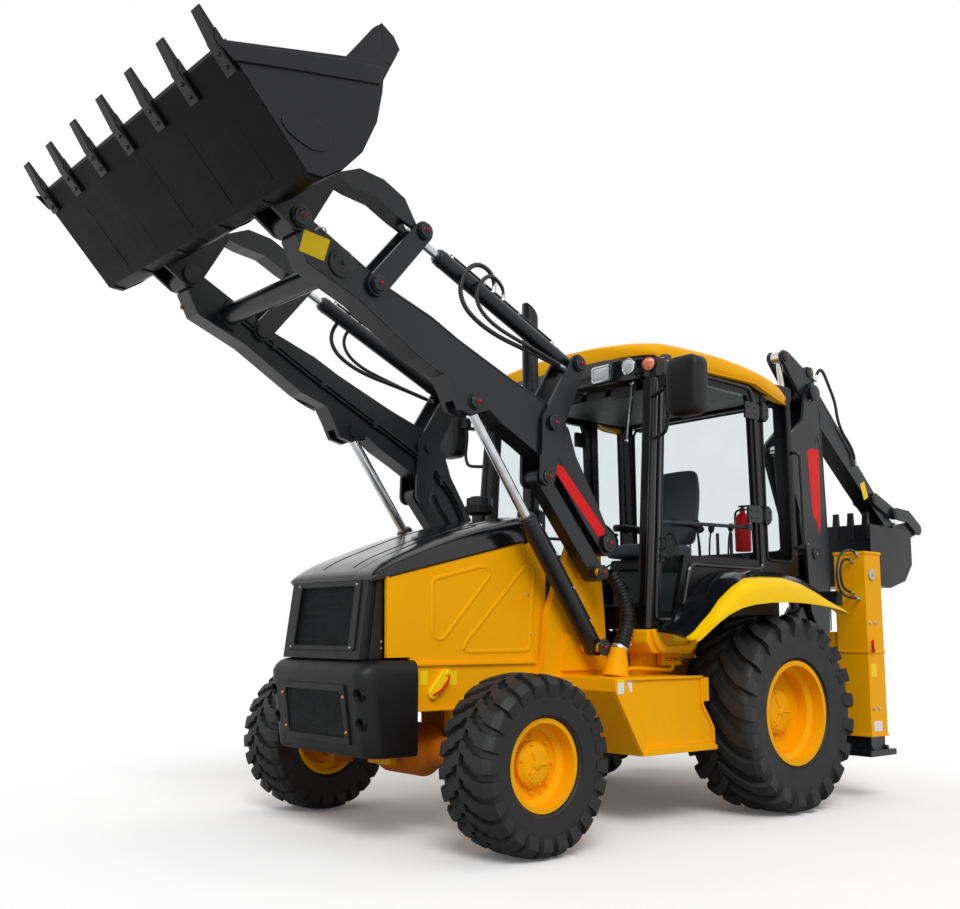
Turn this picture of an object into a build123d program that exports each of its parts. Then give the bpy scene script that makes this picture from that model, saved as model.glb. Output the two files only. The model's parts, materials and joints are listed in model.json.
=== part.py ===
"""Backhoe loader: loader raised, backhoe folded behind the cab.

Millimetres, +Z up, the front of the machine faces -Y and +X is its left side.
While it is modelled, Y = 0 is the rear axle and Z = 0 is the ground; at the end
every piece is moved along Y so that the origin lies on the ground in the middle
of the machine's length.
"""
from build123d import *
from math import atan2, cos, degrees, radians, sin
import os

# ---------------------------------------------------------------- driving sizes
FROM_BASE = (Align.CENTER, Align.CENTER, Align.MIN)   # a cylinder grows from its base
WHEEL_BASE = 2260.0
PIN_PLAY = 0.05          # radial running clearance of every pin and bearing
SEAT_GAP = 0.3           # gap between bodies that only rest or slide on each other
WORK_GAP = 5.0           # gap between plates that swing past each other

# wheels: outer radius, width, distance of the middle plane from the centre line
FRONT_TYRE_R, FRONT_TYRE_W, FRONT_TRACK = 460.5, 350.0, 985.0
REAR_TYRE_R, REAR_TYRE_W, REAR_TRACK = 626.0, 470.0, 905.0
FRONT_SEAT_R, FRONT_FLANGE_R, FRONT_RIM_W = 222.0, 237.0, 280.0
REAR_SEAT_R, REAR_FLANGE_R, REAR_RIM_W = 308.0, 329.0, 410.0
RIM_T = 10.0
SPINDLE_R = 60.0
KINGPIN_X = 800.0        # steering axes
KINGPIN_R = 32.0

# chassis
RAIL_IN, RAIL_OUT = 340.0, 440.0
RAIL_BOTTOM, RAIL_TOP = 700.0, 960.0
FRAME_FRONT, FRAME_REAR = -2600.0, 800.0
TOWER_T = 50.0

# loader linkage: pins in the (Y, Z) plane with the loader raised
BOOM_PIVOT = (-1259.0, 1667.0)
BUCKET_HINGE = (-3498.0, 3176.0)
CRANK_MID = (-1740.0, 2348.0)
CRANK_TOP = (-1519.0, 2737.0)
CRANK_LOW = (-1781.0, 2027.0)
LEVEL_BASE = (-1319.0, 1488.0)
LEVER_FOOT = (-3018.0, 2926.0)
LEVER_TOP = (-2713.0, 3286.0)
BUCKET_LINK = (-3306.0, 3468.0)
LIFT_BASE = (-1320.0, 1042.0)
LIFT_EYE = (-2323.0, 2401.0)
BOOM_PIN_R, CRANK_PIN_R, LINK_PIN_R = 35.0, 30.0, 25.0
PIN_HEAD, PIN_HEAD_T = 22.0, 14.0   # how far a linkage pin's head stands out round it, and its thickness
ARM_IN, ARM_OUT = 520.0, 660.0       # inner and outer face of the left arm
PLATE_T = 20.0                       # twin plates of cranks, levers and brackets
LINK_HALF = 45.0                     # half thickness of the bars between the plates

# loader bucket
BUCKET_HALF_W = 1125.0
BUCKET_CURL = 46.6                   # degrees between its floor and the ground
BUCKET_SKIN, BUCKET_SIDE = 14.0, 20.0

# cab
CAB_HALF_W = 790.0
CAB_WALL = 50.0
CAB_FLOOR = 1150.0
GLASS_T = 8.0

# rear frame, stabilisers
COLUMN_IN, COLUMN_OUT = 890.0, 1120.0
COLUMN_FRONT, COLUMN_REAR = 860.0, 1070.0
COLUMN_BOTTOM, COLUMN_TOP = 430.0, 1700.0
COLUMN_WALL = 14.0
LEG_WALL = 12.0
PAD_BOTTOM, PAD_T = 300.0, 40.0
SLIDE_RAIL = ((500.0, 620.0), (1020.0, 1140.0))   # bottom and top of the two cross rails
SLIDE_FRONT, SLIDE_REAR = 880.0, 1000.0

# backhoe: pins in the (Y, Z) plane, and the plane that it works in
SHIFT_X = 250.0
SWING_AXIS_Y = 1380.0
BOOM_FOOT = (1560.0, 645.0)
BOOM_CYL_BASE, BOOM_CYL_EYE = (1330.0, 1280.0), (1170.0, 2540.0)
DIPPER_CYL_BASE, DIPPER_CYL_EYE = (1490.0, 1748.0), (1220.0, 3300.0)
DIPPER_PIVOT = (1530.0, 3040.0)
BUCKET_CYL_BASE, BUCKET_CYL_EYE = (1550.0, 3220.0), (2720.0, 2150.0)
TIP_LEVER_FOOT = (2438.0, 2258.0)
HOE_HINGE, HOE_LINK = (2750.0, 1990.0), (3075.0, 2035.0)
HOE_BOOM_IN, HOE_BOOM_OUT = 75.0, 100.0
DIPPER_HALF = 70.0
HOE_HALF_W = 300.0
HOE_PIN_R = 28.0


# ---------------------------------------------------------------- shape helpers
def plate(points, x0, x1):
    """A flat outline of (y, z) points, solid from x0 to x1."""
    outline = make_face(Polyline(points, close=True))
    return extrude(Plane.YZ.offset(x0) * outline, amount=x1 - x0)


def block(x0, x1, y0, y1, z0, z1):
    """A box given by its faces."""
    return Pos((x0 + x1) / 2, (y0 + y1) / 2, (z0 + z1) / 2) * Box(abs(x1 - x0), abs(y1 - y0), abs(z1 - z0))


def pin(at, r, x0, x1):
    """A round bar along X through the (y, z) point."""
    bar_plane = Plane(origin=(x0, at[0], at[1]), z_dir=(1, 0, 0))
    return bar_plane * Cylinder(r, x1 - x0, align=FROM_BASE)


def post(x, y, r, z0, z1):
    """A round bar along Z."""
    return Pos(x, y, z0) * Cylinder(r, z1 - z0, align=FROM_BASE)


def strut(start, end, r, x, skip=0.0, length=None):
    """A round bar in the plane at x, from start towards end, beginning `skip` along it."""
    span = Vector(0, end[0] - start[0], end[1] - start[1])
    run = span.normalized()
    base = Vector(x, start[0], start[1]) + run * skip
    reach = span.length - skip if length is None else length
    return Plane(origin=base, z_dir=run) * Cylinder(r, reach, align=FROM_BASE)


def bar(start, end, r0, r1, x0, x1):
    """A flat bar with round ends of radius r0 and r1 about two pins."""
    dy, dz = end[0] - start[0], end[1] - start[1]
    length = (dy * dy + dz * dz) ** 0.5
    ny, nz = -dz / length, dy / length
    web = [(start[0] + ny * r0, start[1] + nz * r0), (end[0] + ny * r1, end[1] + nz * r1),
           (end[0] - ny * r1, end[1] - nz * r1), (start[0] - ny * r0, start[1] - nz * r0)]
    return plate(web, x0, x1) + pin(start, r0, x0, x1) + pin(end, r1, x0, x1)


def bored(solid, *holes):
    """The solid less a running bore through each (point, pin radius)."""
    for at, r in holes:
        solid -= pin(at, r + PIN_PLAY, -2000, 2000)
    return solid


def mirrored(solid):
    return mirror(solid, about=Plane.YZ)


def pair(solid):
    """The piece of the left side and its mirror image."""
    return [solid, mirrored(solid)]


def lathe(profile, x):
    """A (offset along X, radius) outline turned about the X axis through the origin, moved to x."""
    outline = make_face(Polyline([(a, r) for a, r in profile], close=True))
    return Pos(x, 0, 0) * revolve(outline, Axis.X, 360)


# ---------------------------------------------------------------- wheels and axles
def rim(seat_r, flange_r, width, hub_r):
    """Steel rim about the X axis, outer face towards +X, with its disc and hub bored for a spindle."""
    half = width / 2
    well_r = seat_r - 35
    band = [(-half, flange_r), (-half, seat_r - RIM_T), (-half + 60, seat_r - RIM_T),
            (-half + 80, well_r - RIM_T), (half - 100, well_r - RIM_T), (half - 80, seat_r - RIM_T),
            (half, seat_r - RIM_T), (half, flange_r), (half - RIM_T, flange_r), (half - RIM_T, seat_r),
            (half - 84, seat_r), (half - 104, well_r), (-half + 84, well_r), (-half + 64, seat_r),
            (-half + RIM_T, seat_r), (-half + RIM_T, flange_r)]
    disc_x = 20.0
    disc = [(disc_x - 8, well_r - 4), (disc_x - 8, hub_r - 10), (disc_x + 8, hub_r - 10),
            (disc_x + 8, well_r - 4)]
    hub = [(-60, SPINDLE_R + PIN_PLAY), (-60, hub_r), (disc_x + 40, hub_r), (disc_x + 55, hub_r - 18),
           (disc_x + 55, 0), (disc_x + 35, 0), (disc_x + 35, SPINDLE_R + PIN_PLAY)]
    return lathe(band, 0) + lathe(disc, 0) + lathe(hub, 0)


def tyre(outer_r, seat_r, flange_r, rim_w, width):
    """Closed tyre carcass about the X axis that fills the space outside the rim's bead seats."""
    half, bead = width / 2, rim_w / 2 - RIM_T
    shoulder = outer_r - 60
    side_r = (flange_r + outer_r) / 2
    ring = [(-bead, seat_r), (-bead, flange_r + 2), (-half + 25, flange_r + 30), (-half, side_r),
            (-half + 12, shoulder), (-half + 45, outer_r), (half - 45, outer_r), (half - 12, shoulder),
            (half, side_r), (half - 25, flange_r + 30), (bead, flange_r + 2), (bead, seat_r)]
    return lathe(ring, 0)


def wheels():
    """Rims and tyres of the four wheels, each on its own axle."""
    nodes = {}
    table = [  # name, track, y, z = outer radius, seat, flange, rim width, tyre width, hub radius
        ("front", FRONT_TRACK, -WHEEL_BASE, FRONT_TYRE_R, FRONT_SEAT_R, FRONT_FLANGE_R, FRONT_RIM_W,
         FRONT_TYRE_W, 115.0),
        ("rear", REAR_TRACK, 0.0, REAR_TYRE_R, REAR_SEAT_R, REAR_FLANGE_R, REAR_RIM_W, REAR_TYRE_W, 140.0)]
    for name, track, y, outer_r, seat_r, flange_r, rim_w, tyre_w, hub_r in table:
        left = Pos(track, y, outer_r)
        steel = left * rim(seat_r, flange_r, rim_w, hub_r)
        rubber = left * tyre(outer_r, seat_r, flange_r, rim_w, tyre_w)
        nodes[name + "_left_rim"], nodes[name + "_right_rim"] = pair(steel)
        nodes[name + "_left_tyre"], nodes[name + "_right_tyre"] = pair(rubber)
    return nodes


def knuckle():
    """Left steering knuckle: kingpin boss and wheel spindle."""
    z, y = FRONT_TYRE_R, -WHEEL_BASE
    boss = post(KINGPIN_X, y, 55, z - 110, z + 110)
    spindle = pin((y, z), SPINDLE_R, KINGPIN_X, FRONT_TRACK + 50)
    flange = pin((y, z), 95, KINGPIN_X + 60, KINGPIN_X + 90)
    trunnion = post(KINGPIN_X, y, KINGPIN_R, z - 145, z + 145)
    return boss + spindle + flange + trunnion


def axles():
    """Front axle with its yokes and pivot trunnions, and the rear axle with its saddles."""
    z, y = FRONT_TYRE_R, -WHEEL_BASE
    beam = Pos(0, y, z) * lathe([(-690, 0), (-690, 80), (-260, 85), (-150, 150), (150, 150), (260, 85),
                                 (690, 80), (690, 0)], 0)
    trunnion = Plane(origin=(0, y - 240, z), z_dir=(0, 1, 0)) * Cylinder(50, 480, align=FROM_BASE)
    front = beam + trunnion
    yoke = block(670, KINGPIN_X - 62, y - 70, y + 70, z - 145, z + 145)
    for side in (-1, 1):
        low, high = sorted((z + side * (110 + WORK_GAP / 5), z + side * 145))
        yoke += block(670, KINGPIN_X + 50, y - 70, y + 70, low, high)
        yoke -= post(KINGPIN_X, y, KINGPIN_R + PIN_PLAY, low - 1, high + 1)
    front = front + yoke + mirrored(yoke)
    casing = [(-REAR_TRACK - 30, 0), (-REAR_TRACK - 30, SPINDLE_R), (-760, SPINDLE_R), (-760, 150),
              (-730, 150), (-730, 110), (-300, 110), (-170, 190), (170, 190), (300, 110), (730, 110),
              (730, 150), (760, 150), (760, SPINDLE_R), (REAR_TRACK + 30, SPINDLE_R),
              (REAR_TRACK + 30, 0)]
    rear = Pos(0, 0, REAR_TYRE_R) * lathe(casing, 0)
    saddle = block(RAIL_IN, RAIL_OUT, -120, 120, REAR_TYRE_R, 800 - SEAT_GAP)
    return [front, rear + saddle + mirrored(saddle)]


# ---------------------------------------------------------------- chassis
def main_frame():
    """Side rails, cross members, axle hangers, loader towers with their pins, cab mounts."""
    rail = plate([(FRAME_FRONT, 720), (FRAME_FRONT, RAIL_TOP), (FRAME_REAR, RAIL_TOP), (FRAME_REAR, 800),
                  (-430, 800), (-560, RAIL_BOTTOM), (-2100, RAIL_BOTTOM)], RAIL_IN, RAIL_OUT)
    tower = plate([(-1660, RAIL_BOTTOM), (-1600, 1250), (-1370, 1740), (-1300, 1790), (-1210, 1790),
                   (-1160, 1740), (-1110, 1250), (-1080, RAIL_BOTTOM)], RAIL_OUT, RAIL_OUT + TOWER_T)
    foot = plate([(-1500, 900), (-1470, 1120), (-1200, 1120), (-1160, 900)], RAIL_OUT, ARM_IN - 12)
    side = rail + tower + foot
    for at, r in ((BOOM_PIVOT, BOOM_PIN_R), (LEVEL_BASE, LINK_PIN_R), (LIFT_BASE, CRANK_PIN_R)):
        side += pin(at, r, RAIL_OUT, ARM_OUT + 14)
    side += post(390, -800, 55, RAIL_TOP, CAB_FLOOR - SEAT_GAP) + post(390, 450, 55, RAIL_TOP,
                                                                       CAB_FLOOR - SEAT_GAP)
    frame = side + mirrored(side)
    for y0, y1, z0 in ((-2580, -2500, 740), (-1480, -1400, 740), (-620, -540, 740), (560, 640, 820)):
        frame += block(-RAIL_IN, RAIL_IN, y0, y1, z0, 940)
    for y0 in (-WHEEL_BASE - 215, -WHEEL_BASE + 175):
        hanger = block(-RAIL_IN, RAIL_IN, y0, y0 + 40, RAIL_BOTTOM + 20, 760)
        hanger += block(-110, 110, y0, y0 + 40, FRONT_TYRE_R - 80, RAIL_BOTTOM + 20)
        hanger -= Plane(origin=(0, y0 - 5, FRONT_TYRE_R), z_dir=(0, 1, 0)) * Cylinder(
            50 + PIN_PLAY, 50, align=FROM_BASE)
        frame += hanger
    return frame


def engine_block():
    """The engine as one plain mass on its four mounting feet."""
    mass = block(-290, 290, -2440, -1560, 800, 1330)
    for y in (-2300, -1700):
        mass += block(-RAIL_IN + SEAT_GAP, RAIL_IN - SEAT_GAP, y - 50, y + 50, 850, 910)
    return mass


def side_tanks():
    """Fuel tank and tool box under the two sides of the cab, with the door sills over them."""
    outline = [(-1330, 430), (-1560, 800), (-1560, 870), (-760, 870), (-760, 700), (-660, 560), (-660, 430)]
    tank = plate(outline, RAIL_OUT + TOWER_T + SEAT_GAP, 960)
    tank += block(RAIL_OUT + SEAT_GAP, 960, -1000, -700, 720, 860)
    sill = plate([(-1046, 1149), (-1046, 1060), (-1000, 1010), (-640, 1010), (-600, 1060), (-600, 1149)],
                 560, 788)
    hanger = block(560, 640, -960, -760, 869, 1012)
    return pair(tank + sill + hanger)


def bumper():
    """Front bumper with chamfered corners, mesh recess and four round recesses."""
    body = plate([(FRAME_FRONT - SEAT_GAP, 472), (-2876, 465), (-2943, 901), (-2907, 981),
                  (FRAME_FRONT - SEAT_GAP, 955)], -480, 480)
    for side in (-1, 1):
        corner = Pos(side * 480, -2960, 700) * Rot(0, 0, 45) * Box(90, 90, 700)
        body -= corner
        for x, y, z in ((419, -2930, 797), (412, -2905, 645)):
            body -= Plane(origin=(side * x, y - 60, z), z_dir=(0, 1, 0)) * Cylinder(34, 80, align=FROM_BASE)
    body -= plate([(-2960, 530), (-2960, 850), (-2912, 850), (-2865, 530)], -320, 320)
    return body


def grille_panel():
    """Front grille panel: a leaning frame with slats."""
    lean = (2892 - 2831) / (1420 - 994)

    def layer(front, back, z0, z1):
        low, high = -2892 + lean * (z0 - 994), -2892 + lean * (z1 - 994)
        return [(low + front, z0), (high + front, z1), (high + back, z1), (low + back, z0)]
    panel = plate(layer(0, 60, 980.0, 1402), -380, 380)
    panel -= plate(layer(-5, 80, 1050, 1372), -275, 275)
    for row in range(6):
        z = 1075 + row * 51
        panel += plate(layer(22, 46, z, z + 14), -276, 276)
    for side in (-1, 1):
        cheek = [(-2840, 983), (-2790, 1400), (-2750, 1400), (-2750, 983)]
        panel += plate(cheek, *sorted((side * 370, side * 398)))
    return panel


def side_panels():
    """Engine side panels that carry the hood's lower edges."""
    slope = (1668 - 1405) / (2830 - 1735)
    front_top, rear_top = 1405 + slope * 80 - SEAT_GAP, 1405 + slope * 1085 - SEAT_GAP
    outline = [(-2745, 990), (-2750, front_top), (-1745, rear_top), (-1668, 1300),
               (-1664, RAIL_TOP + SEAT_GAP), (-2590, RAIL_TOP + SEAT_GAP), (-2590, 990)]
    return pair(plate(outline, 408, 432))


HOOD_CROWN = [(-2830, 1428), (-2790, 1462), (-2680, 1526), (-2500, 1600), (-2300, 1676), (-2100, 1738),
              (-1900, 1788), (-1700, 1826)]
HOOD_CROSS = [(440, 1300), (440, 1660), (425, 1720), (385, 1770), (330, 1798), (250, 1812), (235, 1826),
              (0, 1832)]


def engine_hood():
    """Hollow hood with rounded shoulders and a raised middle, hinged at its rear edge."""
    def form(inset):
        drop = 50 if inset else 0
        low = [(-1735 - inset, 1668 - drop), (-2830 + inset, 1405 - drop)]
        crown = [(y, z - inset) for y, z in HOOD_CROWN[1:-1]]
        crown = [(-2830 + inset, 1428 - inset)] + crown + [(-1700 - inset, 1826 - inset)]
        result = plate(low + crown, -440 + inset, 440 - inset)
        half = [(x - inset, z - inset) for x, z in HOOD_CROSS[:-1]]
        cross = [(-x, z) for x, z in half] + [(x, z) for x, z in reversed(half)]
        arch = make_face(Polyline(cross, close=True))
        return result & extrude(Plane.XZ.offset(1600) * arch, amount=1300)
    return form(0) - form(14)


def stacks():
    """Exhaust stack and air pre-cleaner between the hood and the cab."""
    exhaust = post(180, -1440, 52, 940 + SEAT_GAP, 3240) - post(180, -1440, 45, 1000, 3241)
    exhaust -= plate([(-1500, 3260), (-1480, 3230), (-1380, 3120), (-1380, 3260)], 100, 260)
    intake = post(-180, -1560, 50, 1330 + SEAT_GAP, 1900) + post(-180, -1560, 85, 1900, 1990)
    return [exhaust, intake]


# ---------------------------------------------------------------- cab
CAB_FRONT_LOW, CAB_FRONT_TOP = -1050.0, -940.0
CAB_REAR_LOW, CAB_REAR_TOP = 570.0, 530.0
CAB_ROOF = 2870.0
ARCH_START, ARCH_END, ARCH_TOP = -350.0, 200.0, 1520.0
CAB_WELL_HALF = 620.0


def cab_volume(inset):
    """The cab's closed form, its walls moved in by `inset`."""
    upper = plate([(CAB_FRONT_LOW + inset, CAB_FLOOR + inset), (CAB_FRONT_TOP + inset, CAB_ROOF - inset),
                   (CAB_REAR_TOP - inset, CAB_ROOF - inset), (CAB_REAR_LOW - inset, ARCH_TOP + inset),
                   (ARCH_END - inset / 3, ARCH_TOP + inset), (ARCH_START - inset / 3, CAB_FLOOR + inset)],
                  -CAB_HALF_W + inset, CAB_HALF_W - inset)
    well = block(-CAB_WELL_HALF + inset, CAB_WELL_HALF - inset, ARCH_START - 60, CAB_REAR_LOW - inset,
                 CAB_FLOOR + inset, ARCH_TOP + 100)
    return upper + well


STEER_CENTRE = (0.0, -700.0, 1800.0)
STEER_TILT = -35.0
STEER_COLUMN = 190.0
STEER_FRAME = Pos(*STEER_CENTRE) * Rot(STEER_TILT, 0, 0)
DOOR_OUTLINE = [(-985, 1205), (-885, 2820), (60, 2800), (110, 2700), (150, 1560), (-640, 1560), (-740, 1205)]
QUARTER_OUTLINE = [(200, 1620), (180, 2780), (480, 2770), (505, 1620)]
DOOR_HINGE_X, DOOR_HINGE_Y = CAB_HALF_W + 15.0, 165.0
DOOR_HINGE_Z = (1926.0, 2650.0)


def panel(points, inset, x0, x1):
    """An outline of (y, z) points moved in all round by `inset`, solid from x0 to x1."""
    outline = offset(make_face(Polyline(points, close=True)), amount=-inset, kind=Kind.INTERSECTION)
    return extrude(Plane.YZ.offset(x0) * outline, amount=x1 - x0)


def cab_frame():
    """Cab shell with its windows and door openings cut, its door hinge pins and the mirrors' arms."""
    shell = cab_volume(0) - cab_volume(CAB_WALL)
    shell -= block(-710, 710, -1200, -900, 1290, 2760)
    shell -= block(-680, 680, 400, 700, 1700, 2760)
    shell -= plate(DOOR_OUTLINE, -900, 900)
    shell -= plate(QUARTER_OUTLINE, -900, 900)
    arm = Plane(origin=(CAB_HALF_W - 20, -960, 2600), z_dir=(0.95, -0.27, 0.15)) * Cylinder(
        14, 290, align=FROM_BASE)
    fittings = arm + block(1010, 1210, -1080, -985, 2440, 2765)
    for z in DOOR_HINGE_Z:
        fittings += post(DOOR_HINGE_X, DOOR_HINGE_Y, 8, z - 62, z + 62)
        for z0 in (z - 62, z + 46):
            fittings += block(CAB_HALF_W - 5, DOOR_HINGE_X + 14, DOOR_HINGE_Y - 12, DOOR_HINGE_Y + 35, z0,
                              z0 + 16)
    return shell + fittings + mirrored(fittings)


def cab_glass():
    """Windscreen, rear window and the two quarter windows."""
    low, high = 1290 + SEAT_GAP, 2760 - SEAT_GAP
    screen = plate([(-1030, low), (-932, high), (-932 + GLASS_T, high), (-1030 + GLASS_T, low)],
                   -710 + SEAT_GAP, 710 - SEAT_GAP)
    low = 1700 + SEAT_GAP
    rear = plate([(548, low), (538, high), (538 - GLASS_T, high), (548 - GLASS_T, low)], -680 + SEAT_GAP,
                 680 - SEAT_GAP)
    return [screen, rear] + pair(panel(QUARTER_OUTLINE, SEAT_GAP, CAB_HALF_W - 30, CAB_HALF_W - 30 + GLASS_T))


def cab_roof():
    """Roof shell: a crowned side outline crossed with a crowned front outline."""
    base = CAB_ROOF + SEAT_GAP
    outline = [(-985, base), (-980, 2935), (-940, 2972), (-800, 3000), (-500, 3030), (-200, 3040),
               (100, 3026), (350, 2990), (560, 2945), (640, 2905), (640, base)]
    side = plate(outline, -830, 830)
    cross = [(830, base), (830, 2955), (800, 2990), (700, 3016), (400, 3034), (-400, 3034), (-700, 3016),
             (-800, 2990), (-830, 2955), (-830, base)]
    front = extrude(Plane.XZ.offset(-700) * make_face(Polyline(cross, close=True)), amount=1800)
    return side & front


def door():
    """Left door frame with its hinge knuckles, and its pane."""
    frame = panel(DOOR_OUTLINE, WORK_GAP, CAB_HALF_W - 38, CAB_HALF_W - 4) - panel(DOOR_OUTLINE, 58, 0, 900)
    for z in DOOR_HINGE_Z:
        leaf = block(CAB_HALF_W - 15, CAB_HALF_W + 11, 60, 98, z - 40, z + 40)
        leaf += block(CAB_HALF_W + 1, CAB_HALF_W + 11, 60, DOOR_HINGE_Y, z - 40, z + 40)
        leaf += post(DOOR_HINGE_X, DOOR_HINGE_Y, 14, z - 46 + SEAT_GAP, z + 46 - SEAT_GAP)
        frame += leaf - post(DOOR_HINGE_X, DOOR_HINGE_Y, 8 + PIN_PLAY, z - 50, z + 50)
    pane = panel(DOOR_OUTLINE, 58, CAB_HALF_W - 25, CAB_HALF_W - 25 + GLASS_T)
    return frame, pane


def fenders():
    """Rear wheel fenders."""
    inner = [(-770, 1085), (-650, 1150), (-420, 1345), (0, 1440), (420, 1400), (800, 1250)]
    outer = [(840, 1290), (430, 1455), (0, 1510), (-440, 1400), (-670, 1186), (-790, 1112)]
    return pair(plate(inner + outer, CAB_HALF_W + SEAT_GAP, 1125))


def seat():
    """Operator's seat: cushion and back."""
    cushion = block(-240, 240, -330, 150, 1640, 1760)
    back = plate([(60, 1750), (170, 2330), (260, 2330), (150, 1750)], -220, 220)
    return cushion + back


def cab_fittings():
    """Seat pedestal, steering console and the backhoe control console."""
    floor = CAB_FLOOR + CAB_WALL + SEAT_GAP
    pedestal = block(-180, 180, -280, 100, floor, 1640 - SEAT_GAP)
    dash = block(-230, 230, -990, -900, floor, 1640) + block(-60, 60, -990, -820, 1400, 1640)
    console = block(-420, 420, 440, 515, floor, 1690)
    for x in (-300, -180, 180, 300):
        console += post(x, 470, 12, 1690, 1860)
    dash += STEER_FRAME * Pos(0, 0, -STEER_COLUMN - SEAT_GAP - 150) * Cylinder(32, 150, align=FROM_BASE)
    return [pedestal, dash, console]


# ---------------------------------------------------------------- loader
ARM_MIDDLE = (ARM_IN + ARM_OUT) / 2
LIFT_HALF, TILT_HALF = 32.0, 30.0        # half widths of the cylinder eyes
CURVED_HALF = 60.0                       # half width of the curved links
ARM_ANGLE = atan2(BUCKET_HINGE[1] - BOOM_PIVOT[1], BOOM_PIVOT[0] - BUCKET_HINGE[0])


def arm_point(u, v):
    """(y, z) of a point u along the arm's pin line and v above it."""
    return (BOOM_PIVOT[0] - u * cos(ARM_ANGLE) + v * sin(ARM_ANGLE),
            BOOM_PIVOT[1] + u * sin(ARM_ANGLE) + v * cos(ARM_ANGLE))


ARM_OUTLINE = [(2640, 55), (2374, 85), (2107, 114), (1793, 194), (1585, 223), (1153, 310), (927, 368),
               (760, 395), (640, 370), (500, 270), (190, 140), (40, 70), (0, -75), (200, -30), (480, 56),
               (535, 86), (700, 86), (868, 70), (1061, 44), (1192, 45), (1260, -60), (1350, -95),
               (1450, -40), (1539, 1), (1727, -52), (2194, -81), (2530, -150), (2660, -80)]


def loader_boom():
    """Two box arms joined by a cross tube, with pockets for the lift rods and bores for the pins."""
    arm = plate([arm_point(u, v) for u, v in ARM_OUTLINE], ARM_IN, ARM_OUT)
    arm += pin(BOOM_PIVOT, 78, ARM_IN, ARM_OUT) + pin(BUCKET_HINGE, 75, ARM_IN, ARM_OUT)
    pocket = [(1170, -260), (1170, 60), (1230, 112), (1355, 112), (1400, 60), (1400, -260)]
    arm -= plate([arm_point(u, v) for u, v in pocket], ARM_MIDDLE - LIFT_HALF - WORK_GAP,
                 ARM_MIDDLE + LIFT_HALF + WORK_GAP)
    arm += pin(CRANK_MID, CRANK_PIN_R, ARM_IN - 2 * PLATE_T, ARM_OUT + 2 * PLATE_T)
    arm = bored(arm, (BOOM_PIVOT, BOOM_PIN_R), (BUCKET_HINGE, BOOM_PIN_R), (LEVER_FOOT, LINK_PIN_R))
    arm += pin(LIFT_EYE, 46, ARM_OUT, ARM_OUT + 12) + pin(LIFT_EYE, 46, ARM_IN - 12, ARM_IN)
    tube = pin(arm_point(2377, -11), 62, -ARM_IN, ARM_IN)
    return arm + mirrored(arm) + tube


def stubs(at, r, gap_half):
    """Bosses on the inner faces of twin plates; they leave a free middle of half width gap_half."""
    return pin(at, r, ARM_IN - WORK_GAP - 1, ARM_MIDDLE - gap_half) + pin(at, r, ARM_MIDDLE + gap_half,
                                                                          ARM_OUT + WORK_GAP + 1)


def bell_cranks():
    """Twin-plate bell cranks on the arms."""
    plates = []
    for x0 in (ARM_IN - WORK_GAP - PLATE_T, ARM_OUT + WORK_GAP):
        x1 = x0 + PLATE_T
        crank = bar(CRANK_MID, CRANK_TOP, 85, 60, x0, x1) + bar(CRANK_MID, CRANK_LOW, 85, 55, x0, x1)
        plates.append(bored(crank, (CRANK_MID, CRANK_PIN_R), (CRANK_TOP, LINK_PIN_R)))
    low = stubs(CRANK_LOW, 38, LINK_HALF + WORK_GAP)
    return pair(plates[0] + plates[1] + low)


def levelling_links():
    """Bars from the towers to the bell cranks, opened at the crank's pin."""
    middle = (ARM_IN + ARM_OUT) / 2
    link = bar(LEVEL_BASE, CRANK_LOW, 55, 50, middle - LINK_HALF, middle + LINK_HALF)
    return pair(bored(link, (LEVEL_BASE, LINK_PIN_R)))


def cylinder(base, eye, barrel_r, rod_r, barrel_end, rod_start, x, half, pin_r):
    """Barrel and rod of a hydraulic cylinder that lies in the plane at x; the eye is a free closed boss."""
    boss_r = pin_r + 22
    bore_start = boss_r + 12
    barrel = strut(base, eye, barrel_r, x, 0, barrel_end) + pin(base, boss_r, x - half, x + half)
    barrel -= strut(base, eye, rod_r + 4 + SEAT_GAP, x, bore_start, barrel_end)
    barrel -= pin(base, pin_r + PIN_PLAY, x - 200, x + 200)
    rod = strut(base, eye, rod_r, x, rod_start) + strut(base, eye, rod_r + 4, x, rod_start, 50)
    rod += pin(eye, pin_r + 20, x - half, x + half)
    return barrel, rod


def lift_cylinders():
    """Lift cylinders from the tower feet to the arms."""
    barrel, rod = cylinder(LIFT_BASE, LIFT_EYE, 55, 30, 900, 775, ARM_MIDDLE, LIFT_HALF, CRANK_PIN_R)
    return pair(barrel), pair(rod)


def tilt_cylinders():
    """Tilt cylinders from the bell cranks to the levers."""
    barrel, rod = cylinder(CRANK_TOP, LEVER_TOP, 48, 24, 1110, 480, ARM_MIDDLE, TILT_HALF, LINK_PIN_R)
    return pair(barrel), pair(rod)


def levers():
    """Twin-plate levers standing on the arms."""
    plates = []
    for x0 in (ARM_IN - WORK_GAP - PLATE_T, ARM_OUT + WORK_GAP):
        lever = bar(LEVER_FOOT, LEVER_TOP, 62, 58, x0, x0 + PLATE_T)
        plates.append(bored(lever, (LEVER_FOOT, LINK_PIN_R), (LEVER_TOP, LINK_PIN_R)))
    return pair(plates[0]) + pair(plates[1])


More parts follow.
